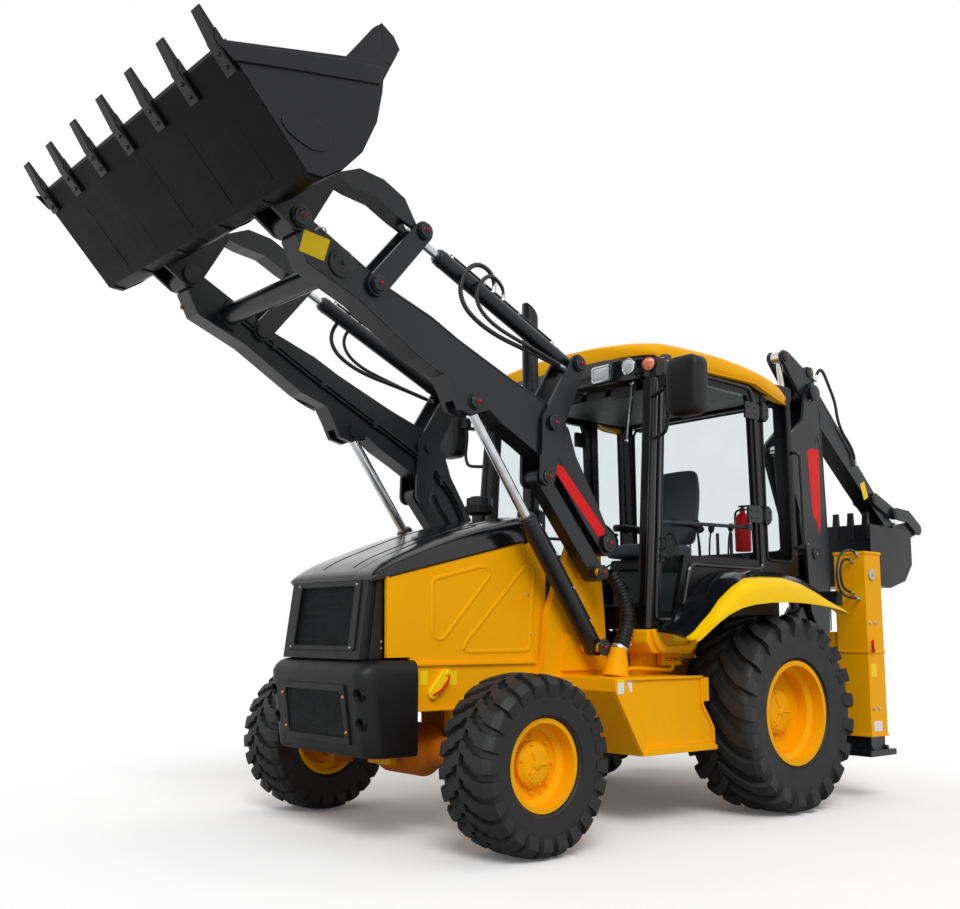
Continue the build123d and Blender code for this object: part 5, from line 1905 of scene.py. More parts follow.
    def mirrors(self) -> None:
        """Mirror housings with their glass, clamps and cranked arms."""
        shell, rings = Form(), []
        for depth, grow in (
            (-6, 0.95), (4, 1.0), (40, 1.0), (90, 1.0), (101, 0.97), (109, 0.9), (115, 0.76), (118, 0.5),
            (119, 0.2)
        ):
            rings.append([(x, -980 - depth, z) for x, z in self.mirror_outline(grow)])
        shell.rings(rings)
        self.piece("mirror_housings", shell.both(), GRAIN_BLACK, Slot.TRIM, smooth=60)
        glass = Form().rings([
            [(x, -980 + d, z) for x, z in self.mirror_outline(g)]
            for d, g in ((4, 0.88), (6.5, 0.88), (7.5, 0.86))
        ])
        self.piece("mirror_glasses", glass.both(), MIRROR_FACE, Slot.GLASS)
        arm = Form()
        arm.bent([
            (792, -975, 2330), (850, -1000, 2332), (925, -1018, 2350), (952, -1022, 2420),
            (946, -1020, 2500), (940, -1020, 2580), (955, -1022, 2650), (1010, -1030, 2668),
            (1040, -1032, 2668)
        ], 5, 12, 12)
        arm.block((915, -1048, 2628), (1006, -1000, 2700))
        arm.turned([(0, 20), (46, 20)], (780, -972, 2306), UP, 16)
        arm.bolt((960, -1048, 2664), (0, -1, 0), 8)
        self.piece("mirror_arms", arm.both(), TRIM_BLACK, Slot.BLACK, bevel=3)

    def mirror_outline(self, grow: float) -> list[Pair]:
        """The mirror's rounded outline, grown or shrunk about its middle.

        Args:
            grow: the outline's scale.

        Returns:
            The outline as (x, z).
        """
        points = stadium((0, 0), 118 * grow, 181 * grow, 60 * grow, 7)
        return [(1109 + x, 2602 + z) for x, z in points]

    def wiper(self) -> None:
        """Front wiper, hung from the header, and its blade."""
        arm = Form().turned(
            [(-6, 16), (16, 16), (20, 12), (20, 0)], (617, self.screen_y(2716) - 6, 2716), (0, -1, 0.07), 20
        )
        arm.bent([
            (617, self.screen_y(2716, 20), 2716), (612, self.screen_y(2650, 18), 2650),
            (596, self.screen_y(2480, 16), 2480), (578, self.screen_y(2342, 12), 2342)
        ], 4, 4.5, 8)
        arm.turned([(-9, 9), (9, 9)], (578, self.screen_y(2342, 12), 2342), ACROSS, 12)
        self.piece("wiper_arm", arm, CHROME, Slot.STEEL)
        blade = Form()
        for x0, z0, x1, z1, r in ((622, 2600, 552, 2368, 7.0), (628, 2618, 546, 2350, 3.0)):
            blade.tube([
                (x0, self.screen_y(z0, 9), z0),
                ((x0 + x1) / 2 + 6, self.screen_y((z0 + z1) / 2, 13 - r / 3), (z0 + z1) / 2),
                (x1, self.screen_y(z1, 9), z1)
            ], r, 8)
        self.piece("wiper_blade", blade, SEAL, Slot.TRIM)

    def handles(self) -> None:
        """Door bars, latches, speakers, hinge covers and plates, and grab rails."""
        for name, sign in (("left", 1), ("right", -1)):
            body = name + "_door"
            x = sign * (self.wall - 38)
            bar = Form().bent([(x, -905, 1816), (x, -700, 1822), (x, -300, 1832), (x, 40, 1838)], 3, 12, 12)
            bar.block((min(x, x + sign * 22), -930, 1796), (max(x, x + sign * 22), -890, 1836))
            bar.block((min(x, x + sign * 22), 20, 1818), (max(x, x + sign * 22), 70, 1858))
            self.piece(name + "_door_bar", bar, TRIM_GREY, Slot.TRIM, body, bevel=2)
            latch = Form()
            outer = sign * (self.wall + 2)
            latch.plate(
                [(-935, 1560), (-895, 1560), (-885, 1720), (-925, 1720)],
                *sorted((outer - sign * 20, outer + sign * 10)), corner=12
            )
            latch.turned([(0, 14), (7, 14), (9, 11)], (outer + sign * 9, -910, 1600), (sign, 0, 0), 20)
            latch.bent([
                (outer + sign * 8, -912, 1640), (outer + sign * 30, -908, 1650),
                (outer + sign * 30, -900, 1700), (outer + sign * 8, -898, 1710)
            ], 4, 6, 10)
            self.piece(name + "_door_latch", latch, TRIM_BLACK, Slot.TRIM, body, bevel=2)
            vent = Form().turned(
                [(0, 96), (8, 96), (12, 88), (12, 74), (4, 66)], (sign * (self.wall - 60), -770, 1680),
                (sign, 0, 0), 40
            )
            vent.turned(
                [(-2, 60), (4, 58), (8, 30), (9, 0)], (sign * (self.wall - 60), -770, 1680), (sign, 0, 0),
                32
            )
            self.piece(name + "_door_speaker", vent, TRIM_BLACK, Slot.TRIM, body)
        covers = Form()
        for z in (1926, 2640):
            covers.plate([
                (178, z - 66), (205, z - 66), (240, z - 30), (240, z + 40), (205, z + 62), (178, z + 62)
            ], 792, 812, corner=14)
            for dz in (-26, 20):
                covers.bolt((812, 214, z + dz), ACROSS, 8)
        self.piece("hinge_covers", covers.both(), BLACK, Slot.BLACK, bevel=3)
        for name, sign in (("left", 1), ("right", -1)):
            plates = Form()
            for z in (1926, 2640):
                plates.plate([
                    (-20, z - 58), (118, z - 58), (150, z - 40), (150, z + 40), (118, z + 58), (-20, z + 58)
                ], *sorted((sign * 790, sign * 806)), corner=14)
                for y, rise in ((14, 24), (14, -24), (84, 24), (84, -24)):
                    plates.bolt((sign * 806, y, z + rise), (sign, 0, 0), 8)
            self.piece(name + "_hinge_plates", plates, BLACK, Slot.BLACK, name + "_door", bevel=3)
        rail = Form()
        rail.bent([
            (792, 560, 1720), (836, 576, 1740), (838, 574, 1800), (838, 560, 2300), (836, 552, 2380),
            (792, 540, 2400)
        ], 5, 13, 12)
        self.piece("grab_rails", rail.both(), BLACK, Slot.BLACK)

    def rear(self) -> None:
        """Rear header strip, work lamps, tail lamps and turn lamps."""
        header = Form().block((-780, 540, 2775), (780, 572, 2866))
        self.piece("rear_header", header, TRIM_BLACK, Slot.TRIM, bevel=8)
        bezel, lens = Form(), Form()
        for x in (430, 640):
            bezel.turned([(-6, 62), (26, 62), (30, 56), (28, 50)], (x, 572, 2806), (0, 1, -0.15), 32)
            bezel.turned([(-20, 16), (0, 16)], (x, 572, 2806), REARWARD, 16)
            lens.turned([(20, 54), (28, 52), (36, 36), (40, 0)], (x, 572, 2806), (0, 1, -0.15), 32)
        self.piece("rear_lamp_bodies", bezel.both(), TRIM_BLACK, Slot.TRIM)
        self.piece("rear_lamp_lenses", lens.both(), CLEAR_LENS, Slot.GLASS)
        tail, red = Form(), Form()
        tail.plate([(628, 1330), (700, 1318), (700, 1410), (640, 1420)], 880, 1040, corner=8)
        red.block((890, 694, 1330), (955, 712, 1402))
        self.piece("tail_lamp_bodies", tail.both(), TRIM_BLACK, Slot.TRIM, bevel=4)
        self.piece("tail_lamp_lenses", red.both(), RED_LENS, Slot.GLASS, bevel=3)
        amber = Form().block((965, 694, 1330), (1030, 712, 1402))
        self.piece("tail_turn_lenses", amber.both(), AMBER_LENS, Slot.GLASS, bevel=3)

    def roof(self) -> None:
        """Lower drip edge and aerial socket of the roof."""
        edge = Form()
        self.strip(edge, [
            (826, -872, 2838), (833, -800, 2828), (836, -485, 2826), (836, -62, 2826), (834, 60, 2824),
            (830, 180, 2790), (820, 340, 2752), (794, 470, 2740)
        ], 7, closed=False)
        self.piece("roof_edges", edge.both(), ROOF_YELLOW, Slot.PLASTIC)
        aerial = Form().turned([(0, 26), (8, 24), (22, 12), (30, 6)], (-600, 480, 2955), UP, 20)
        self.piece("roof_aerial_base", aerial, TRIM_BLACK, Slot.TRIM)


@dataclass
class CabInside(Assembly):
    """Padded seat, arm rests, console levers, column, pedals, mat and extinguisher."""

    def build(self) -> None:
        """Builds what shows through the glass."""
        self.cushion("seat_cushion", Vector((-244, -336, 1646)), Vector((244, 140, 1758)), ["seat"])
        self.back()
        self.controls()
        self.extras()

    def cushion(self, name: str, low: Vector, high: Vector, replaces: Sequence[str] = ()) -> None:
        """One padded cushion with crowned faces and pulled-in sides.

        Args:
            name: the piece's name.
            low: its lowest corner.
            high: its highest corner.
            replaces: the CAD nodes that it stands for.
        """
        half = (high - low) / 2
        middle = (low + high) / 2
        rows, turns = 17, 36
        rings = []
        for row in range(rows):
            v = -1 + 2 * row / (rows - 1)
            bulge = (1 - abs(v) ** 3.2) ** 0.38 if abs(v) < 1 else 0.0
            ring = []
            for step in range(turns):
                t = 2 * math.pi * step / turns
                c, s = math.cos(t), math.sin(t)
                x = half.x * math.copysign(abs(c) ** 0.34, c)
                y = half.y * math.copysign(abs(s) ** 0.34, s)
                pull = 0.93 + 0.07 * bulge
                x, y = x * (0.88 + 0.12 * bulge) * pull, y * (0.88 + 0.12 * bulge) * pull
                crown = half.z * (0.86 + 0.14 * math.cos(x / half.x * 1.4) * math.cos(y / half.y * 1.4))
                ring.append((middle.x + x, middle.y + y, middle.z + v * crown))
            rings.append(ring)
        form = Form().rings(rings)
        pad = self.piece(name, form, CLOTH, Slot.CLOTH, rounds=1, replaces=replaces)

    def back(self) -> None:
        """The seat's back, its bellows base and the arm rests."""
        rings = []
        for row in range(19):
            share = row / 18
            z = 1752 + share * 570
            lean = 150 + share * 98
            half = (206 + 14 * math.sin(share * 2.4)) * (1 - 0.25 * share ** 5)
            thick = 52 * (1 - 0.35 * share ** 3)
            if row in (0, 18):
                half, thick = half * 0.9, thick * 0.55
            ring = []
            for step in range(32):
                t = 2 * math.pi * step / 32
                c, s = math.cos(t), math.sin(t)
                x = half * math.copysign(abs(c) ** 0.45, c)
                front = thick * math.copysign(abs(s) ** 0.7, s)
                hollow = 16 * math.cos(x / half * 1.5) if s < 0 else 0.0
                channel = 5 * max(0.0, math.cos(share * 26)) ** 8 if s < -0.2 else 0.0
                ring.append((x, lean + front + hollow + channel, z))
            rings.append(ring)
        pad = self.piece("seat_back", Form().rings(rings), CLOTH, Slot.CLOTH, rounds=1)
        base = Form().plate([(-300, 1560), (110, 1560), (90, 1642), (-280, 1642)], -200, 200, corner=20)
        for row in range(5):
            z = 1250 + row * 62
            front, rear = -240 + 6 * (row % 2), 60 - 6 * (row % 2)
            base.plate([(front, z), (rear, z), (rear, z + 56), (front, z + 56)], -150, 150, corner=22)
        self.piece("seat_base", base, TRIM_BLACK, Slot.TRIM, bevel=4)
        rest = Form()
        for sign in (1, -1):
            rest.bent([
                (sign * 262, 170, 1860), (sign * 268, 100, 1892), (sign * 268, -60, 1896),
                (sign * 268, -150, 1890)
            ], 4, 27, 14)
        self.piece("arm_rests", rest, TRIM_BLACK, Slot.TRIM)

    def controls(self) -> None:
        """Column shroud, levers with knobs, side console, pedals and gauge rims."""
        shroud = Form()
        tilt = Vector((0, 0.573576, 0.819152))
        foot = Vector((0, -700, 1800))
        shroud.turned([(-190, 62), (-120, 54), (-60, 46), (-34, 38)], foot, tilt, 28)
        shroud.tube([foot - tilt * 70 + Vector((36, 0, 0)), foot - tilt * 56 + Vector((210, 30, 20))], 6, 10)
        shroud.turned(
            [(0, 9), (30, 11), (36, 8)], foot - tilt * 56 + Vector((206, 30, 20)), (1, 0.1, 0.08), 12
        )
        self.piece("column_shroud", shroud, TRIM_BLACK, Slot.TRIM)
        knobs, sticks = Form(), Form()
        for x, y, z, dy, h in (
            (330, 60, 1560, -30, 330), (372, 20, 1560, -40, 300), (-330, 60, 1560, -30, 330),
            (260, 486, 1690, 40, 210), (90, 486, 1690, 30, 210), (-90, 486, 1690, 30, 210),
            (-260, 486, 1690, 40, 210)
        ):
            sticks.bent([(x, y, z), (x, y + dy * 0.3, z + h * 0.6), (x, y + dy, z + h)], 4, 7, 10)
            knobs.turned([
                (-30, 9), (-20, 19), (6, 25), (24, 22), (32, 10), (34, 0)
            ], (x, y + dy, z + h), (0, dy / 150, 1), 18)
        self.piece("lever_sticks", sticks, BLACK, Slot.BLACK)
        self.piece("lever_knobs", knobs, TRIM_BLACK, Slot.TRIM)
        side = Form().plate(
            [(-60, 1215), (170, 1215), (170, 1570), (20, 1570), (-60, 1520)], 290, 410, corner=26
        )
        self.piece("side_console", side, TRIM_GREY, Slot.TRIM, bevel=8)
        pedals = Form()
        for x in (-150, 60, 150):
            pedals.plate([(-905, 1262), (-838, 1230), (-830, 1240), (-897, 1274)], x, x + 66, corner=3)
            pedals.tube([(x + 33, -880, 1262), (x + 33, -960, 1330)], 8, 8)
        self.piece("pedals", pedals, SEAL, Slot.TRIM, bevel=2)
        gauge = Form()
        for x in (-120, 0, 120):
            gauge.turned([(0, 44), (5, 44), (7, 40), (4, 36)], (x, -902, 1600), (0, 1, 0.5), 28)
        self.piece("gauge_rims", gauge, CHROME, Slot.STEEL)

    def extras(self) -> None:
        """Fire extinguisher, rubber mat and the roof lining."""
        bottle = Form().turned(
            [(0, 52), (12, 56), (230, 56), (262, 40), (276, 20), (290, 20)], (470, 380, 1706), UP, 32
        )
        self.piece("extinguisher", bottle, RED, Slot.YELLOW)
        valve = Form().turned([(0, 18), (22, 18), (26, 10), (44, 10)], (470, 380, 1994), UP, 16)
        valve.block((440, 372, 2024), (520, 388, 2036)).block((462, 372, 2000), (530, 388, 2010))
        valve.bent([(452, 380, 2008), (412, 380, 1990), (404, 380, 1920), (410, 380, 1800)], 4, 8, 10)
        valve.turned([(0, 58), (14, 58)], (470, 380, 1880), UP, 32)
        self.piece("extinguisher_valve", valve, TRIM_BLACK, Slot.TRIM)
        mat = Form()
        for row in range(11):
            mat.block((-600, -930 + row * 46, 1200), (600, -900 + row * 46, 1206))
        self.piece("floor_mat", mat, SEAL, Slot.TRIM, bevel=2)
        lining = Form().plate([(-880, 2812), (-860, 2780), (440, 2780), (460, 2812)], -700, 700, corner=10)
        self.piece("roof_lining", lining, TRIM_GREY, Slot.TRIM, bevel=10)


# ---------------------------------------------------------------- rear end
@dataclass
class RearFrame(Assembly):
    """Column collars and bosses, hooks, blank plates, valves and pad ribs of the rear frame."""

    def build(self) -> None:
        """Builds the rear frame's dressing."""
        lips = Form()
        for z in (437, 1004, 1690):
            outer = [(884, 854), (1126, 854), (1126, 1076), (884, 1076)]
            inner = [(892, 862), (1118, 862), (1118, 1068), (892, 1068)]
            rings = [
                [(x, y, z + h) for x, y in line]
                for line, h in ((inner, -9), (outer, -9), (outer, 9), (inner, 9))
            ]
            lips.rings(rings, closed=True)
        self.piece("column_collars", lips.both(), YELLOW, Slot.YELLOW, bevel=1.5)
        boss = Form().turned(
            [(0, 38), (12, 38), (16, 32), (16, 0)], (1120, 938, 1538), ACROSS, 28
        ).bolt((1135, 938, 1538), ACROSS, 14)
        for z in (1200, 620):
            boss.bolt((1120, 965, z), ACROSS, 12).bolt((1120, 900, z), ACROSS, 12)
        self.piece("column_bosses", boss.both(), STEEL, Slot.STEEL)
        hook = Form().bent([
            (1132, 905, 1076), (1150, 880, 1076), (1152, 870, 1040), (1150, 885, 1010), (1132, 905, 1008)
        ], 4, 9, 10)
        self.piece("tie_hooks", hook.both(), RED, Slot.YELLOW)
        films = Form().plate(stadium((925, 877), 34, 44, 4), 1120, 1120.8)
        self.piece("column_plates_yellow", films.both(), FILM_YELLOW, Slot.YELLOW)
        white = Form().plate(stadium((950, 498), 52, 34, 4), 1120, 1120.8)
        self.piece("column_plates_white", white.both(), FILM_WHITE, Slot.YELLOW)
        valve = Form()
        valve.block((930, 1074, 1330), (1080, 1118, 1420))
        valve.block((955, 1118, 1350), (985, 1140, 1400)).block((1025, 1118, 1350), (1055, 1140, 1400))
        self.piece("lock_valves", valve.both(), BRASS, Slot.STEEL, bevel=3)
        bank = Form()
        for index in range(6):
            x = -230 + index * 74
            bank.block((x, 690, 1030), (x + 62, 790, 1150))
            bank.turned([(0, 14), (26, 14), (28, 10)], (x + 31, 740, 1150), UP, 16)
        self.piece("valve_bank", bank, IRON, Slot.DARK, bevel=4)
        for side in ("left", "right"):
            sign = 1 if side == "left" else -1
            pad = Form()
            for y in (875, 1055):
                pad.block(
                    (min(sign * 860, sign * 1125), y - 14, 340), (max(sign * 860, sign * 1125), y + 14, 366)
                )
            pad.turned([(0, 34), (24, 34), (28, 28)], (sign * 1005, 965, 340), UP, 24)
            self.piece(side + "_pad_ribs", pad, BLACK, Slot.BLACK, side + "_stabiliser", bevel=3)


@dataclass
class BackhoeDress(Assembly):
    """Stripe, blank plate, pivot caps and welds of the digging arm."""

    shift: float = 250.0
    cheek: float = 100.0

    def build(self) -> None:
        """Builds the digging arm's dressing."""
        face = self.shift + self.cheek
        stripe = Form().plate([
            (1423, 2560), (1500, 2590), (1590, 2585), (1584, 2300), (1575, 1990), (1545, 1900),
            (1528, 1990), (1470, 2060)
        ], face, face + 0.8)
        self.piece("hoe_stripe", stripe, RED, Slot.BLACK, "backhoe_boom")
        plate = Form().plate(
            [(2240, 2370), (2306, 2400), (2360, 2270), (2292, 2236)], self.shift + 70, self.shift + 70.9,
            corner=6
        )
        self.piece("dipper_plate_yellow", plate, FILM_YELLOW, Slot.YELLOW, "dipper")
        spots = (
            ("hoe_pivot", (1530, 3040), 66, 370, "backhoe_boom", True),
            ("hoe_foot", (1560, 645), 60, 350, "backhoe_boom", False),
            ("hoe_dipper_base", (1490, 1748), 46, 350, "backhoe_boom", False),
            ("hoe_boom_eye", (1170, 2540), 40, 350, "backhoe_boom", False),
            ("hoe_bucket_base", (1550, 3220), 44, 320, "dipper", False),
            ("hoe_dipper_eye", (1220, 3300), 40, 320, "dipper", True),
            ("hoe_hinge", (2750, 1990), 48, 320, "dipper", False),
            ("hoe_tip_foot", (2438, 2258), 40, 320, "dipper", False),
        )
        for name, (y, z), r, x, body, red in spots:
            form, dots = Form(), Form()
            for sign in (1, -1):
                at = (self.shift + sign * (x - self.shift), y, z)
                form.turned([
                    (0.4, r), (8, r), (11, r - 4), (11, r * 0.6), (15, r * 0.54), (15, 0)
                ], at, (sign, 0, 0), 32)
                form.bolt((at[0] + sign * 10, y + r * 0.1, z + r * 0.76), (sign, 0, 0), 6, False)
                dots.turned([(14, 9), (20, 8), (22, 5)], at, (sign, 0, 0), 14)
            self.piece(name + "_caps", form, BLACK, Slot.BLACK, body, bevel=1)
            self.piece(name + "_plugs", dots, RED if red else BRASS, Slot.STEEL, body)
        welds = Form()
        for sign in (1, -1):
            x = self.shift + sign * (self.cheek - 1)
            welds.bent([(x, 1668, 1150), (x, 1672, 1750), (x, 1642, 2480), (x, 1618, 2960)], 5, 5, 8)
            welds.bent([(x, 1545, 2640), (x, 1578, 2690), (x, 1600, 2640), (x, 1608, 2540)], 5, 5, 8)
        self.piece("hoe_welds", welds, BLACK, Slot.BLACK, "backhoe_boom")


# ---------------------------------------------------------------- moulded shells
def carved(obj: bpy.types.Object, cutters: Form) -> None:
    """Cuts closed forms out of a piece and keeps the result as its mesh.

    Args:
        obj: the piece.
        cutters: the forms to take away.
    """
    mesh = bpy.data.meshes.new("cutter")
    mesh.from_pydata([metres(p) for p in cutters.points], [], cutters.faces)
    mesh.validate()
    tool = bpy.data.objects.new("cutter", mesh)
    bpy.context.scene.collection.objects.link(tool)
    cut = obj.modifiers.new("cut", "BOOLEAN")
    cut.operation, cut.solver, cut.object = "DIFFERENCE", "EXACT", tool
    bpy.context.view_layer.update()
    done = obj.evaluated_get(bpy.context.evaluated_depsgraph_get())
    result = bpy.data.meshes.new_from_object(done)
    obj.modifiers.remove(cut)
    obj.data = result
    result.shade_smooth()
    result.set_sharp_from_angle(angle=math.radians(35))
    bpy.data.objects.remove(tool)


@dataclass
class BumperShell(Assembly):
    """Rounded front bumper with its mesh recess and cups."""

    half: float = 480.0
    rear: float = -2571.0
    corner: float = 95.0
    low: float = 468.0
    high: float = 978.0

    def ring(self, z: float, inset: float) -> list[Point]:
        """The plan outline at a height, drawn in from the full one.

        Args:
            z: the height.
            inset: how far it is drawn in.

        Returns:
            The outline's points.
        """
        front = -2876 - 0.1537 * (z - 465) if z < 905 else -2943 + 0.45 * (z - 905)
        front, half, radius = front + inset, self.half - inset, self.corner
        arc = [math.radians(a) for a in range(0, 91, 10)]
        right = [(half - radius * (1 - math.cos(a)), front + radius * (1 - math.sin(a))) for a in arc]
        plan = [(half, self.rear), *right, *[(-x, y) for x, y in reversed(right)], (-half, self.rear)]
        return [(x, y, z) for x, y in plan]

    def build(self) -> None:
        """Builds the shell."""
        steps = (
            (468, 26), (471, 12), (482, 3), (500, 0), (600, 0), (700, 0), (800, 0), (870, 0), (905, 1),
            (935, 4), (955, 12), (968, 24), (975, 40), (978, 62)
        )
        shell = self.piece(
            "bumper_shell", Form().rings([self.ring(z, inset) for z, inset in steps]), GRAIN_BLACK,
            Slot.TRIM, replaces=["bumper"]
        )
        cut = Form().plate([(-3000, 530), (-3000, 850), (-2912, 850), (-2865, 530)], -320, 320)
        for side in (-1, 1):
            for x, y, z in ((419, -3000, 797), (412, -2990, 645)):
                cut.turned([(0, 36), (150, 36)], (side * x, y, z), REARWARD, 28)
        carved(shell, cut)


@dataclass
class RoofShell(Assembly):
    """Crowned roof with rounded corners and a deep side skirt."""

    stations: tuple[tuple[float, float, float, float, float], ...] = (
        (-990, 560, 2888, 2930, 2998), (-986, 660, 2880, 2926, 3003), (-972, 730, 2876, 2924, 3010),
        (-945, 782, 2872, 2926, 3018), (-915, 808, 2852, 2932, 3024), (-880, 822, 2834, 2938, 3029),
        (-830, 830, 2826, 2943, 3032), (-700, 833, 2826, 2949, 3036), (-485, 834, 2826, 2951, 3038),
        (-282, 834, 2826, 2948, 3038), (-62, 834, 2826, 2930, 3034), (60, 834, 2824, 2916, 3028),
        (180, 831, 2788, 2898, 3018), (300, 826, 2758, 2874, 3004), (400, 814, 2744, 2846, 2986),
        (480, 792, 2738, 2818, 2966), (550, 752, 2744, 2796, 2944), (600, 700, 2780, 2790, 2924),
        (632, 620, 2820, 2826, 2900), (640, 540, 2850, 2856, 2884),
    )

    def ring(self, y: float, half: float, low: float, side: float, crown: float) -> list[Point]:
        """One cross section: the outer shell, then back along its inside.

        Args:
            y: its place along the machine.
            half: half the roof's width.
            low: the skirt's lower edge.
            side: the shoulder's height.
            crown: the middle's height.

        Returns:
            The section's points.
        """
        rise = crown - side
        inner = min(half - 34, 745)
        right = [
            (half - 12, low), (half, low + 8), (half + 2, low + (side - low) * 0.4),
            (half - 1, side - (side - low) * 0.25), (half - 12, side - 6), (half - 34, side + rise * 0.1),
            (half - 80, side + rise * 0.3), (half * 0.72, side + rise * 0.62),
            (half * 0.42, side + rise * 0.9), (0, crown)
        ]
        under = [
            (-inner - 12, low + 2), (-inner - 8, max(low + 4, 2872)), (inner + 8, max(low + 4, 2872)),
            (inner + 12, low + 2)
        ]
        outline = right + [(-x, z) for x, z in reversed(right[:-1])] + under
        return [(x, y, z) for x, z in outline]

    def build(self) -> None:
        """Builds the shell."""
        shell = Form().rings([self.ring(*row) for row in self.stations])
        self.piece("roof_shell", shell, ROOF_YELLOW, Slot.PLASTIC, smooth=55, replaces=["cab_roof"])


@dataclass
class Fender(Assembly):
    """Rear mudguards: a glossy black inner moulding and a bright outer crescent."""

    stations: tuple[tuple[float, float, float, float], ...] = (
        (-1004, 1150, 1108, 1078), (-975, 1168, 1118, 1086), (-930, 1186, 1142, 1112),
        (-868, 1200, 1190, 1148), (-780, 1240, 1250, 1196), (-686, 1350, 1334, 1240),
        (-560, 1446, 1412, 1280), (-426, 1510, 1472, 1304), (-250, 1540, 1486, 1319),
        (-48, 1550, 1488, 1325), (120, 1550, 1462, 1322), (291, 1540, 1414, 1312), (460, 1500, 1350, 1296),
        (600, 1430, 1290, 1272), (640, 1400, 1270, 1262),
    )
    inner_x: float = 797.0
    seam_x: float = 1040.0
    outer_x: float = 1122.0

    def row(self, y: float, wall: float, seam: float, low: float) -> tuple[list[Point], list[Point]]:
        """The moulding's and the crescent's cross sections at one station.

        Args:
            y: the station's place along the machine.
            wall: height at the cab's wall.
            seam: height where the two meet.
            low: the crescent's lower edge.

        Returns:
            The moulding's section and the crescent's.
        """
        a, b, c = self.inner_x, self.seam_x, self.outer_x
        top = max(wall, seam + 20)
        shell = [
            (a, y, wall), (a + 40, y, top - (top - seam) * 0.03), (a + 110, y, top - (top - seam) * 0.16),
            (a + 180, y, top - (top - seam) * 0.42), (b - 24, y, seam + (top - seam) * 0.2),
            (b + 2, y, seam)
        ]
        flare = [
            (b + 2, y, seam - 1), (b + 26, y, seam - 4), (b + 50, y, seam - 14),
            (c - 12, y, seam - 34 * min(1.0, (seam - low) / 80)), (c, y, (seam + low) / 2), (c + 1, y, low)
        ]
        under = [
            (c - 12, y, low), (c - 16, y, (seam + low) / 2), (b + 34, y, max(low + 4, seam - 44)),
            (b, y, max(low + 2, seam - 16))
        ]
        back = [(b - 6, y, seam - 12), (a + 150, y, top - (top - seam) * 0.4 - 14), (a, y, wall - 14)]
        return shell + back, flare + under

    def build(self) -> None:
        """Builds both mouldings on both sides."""
        rows = [self.row(*station) for station in self.stations]
        moulding = Form().rings([shell for shell, _ in rows])
        self.piece("fender_mouldings", moulding.both(), HOOD_BLACK, Slot.TRIM, smooth=55)
        crescent = Form().rings([flare for _, flare in rows])
        self.piece("fender_crescents", crescent.both(), FENDER, Slot.PLASTIC, smooth=50, replaces=["fenders"])


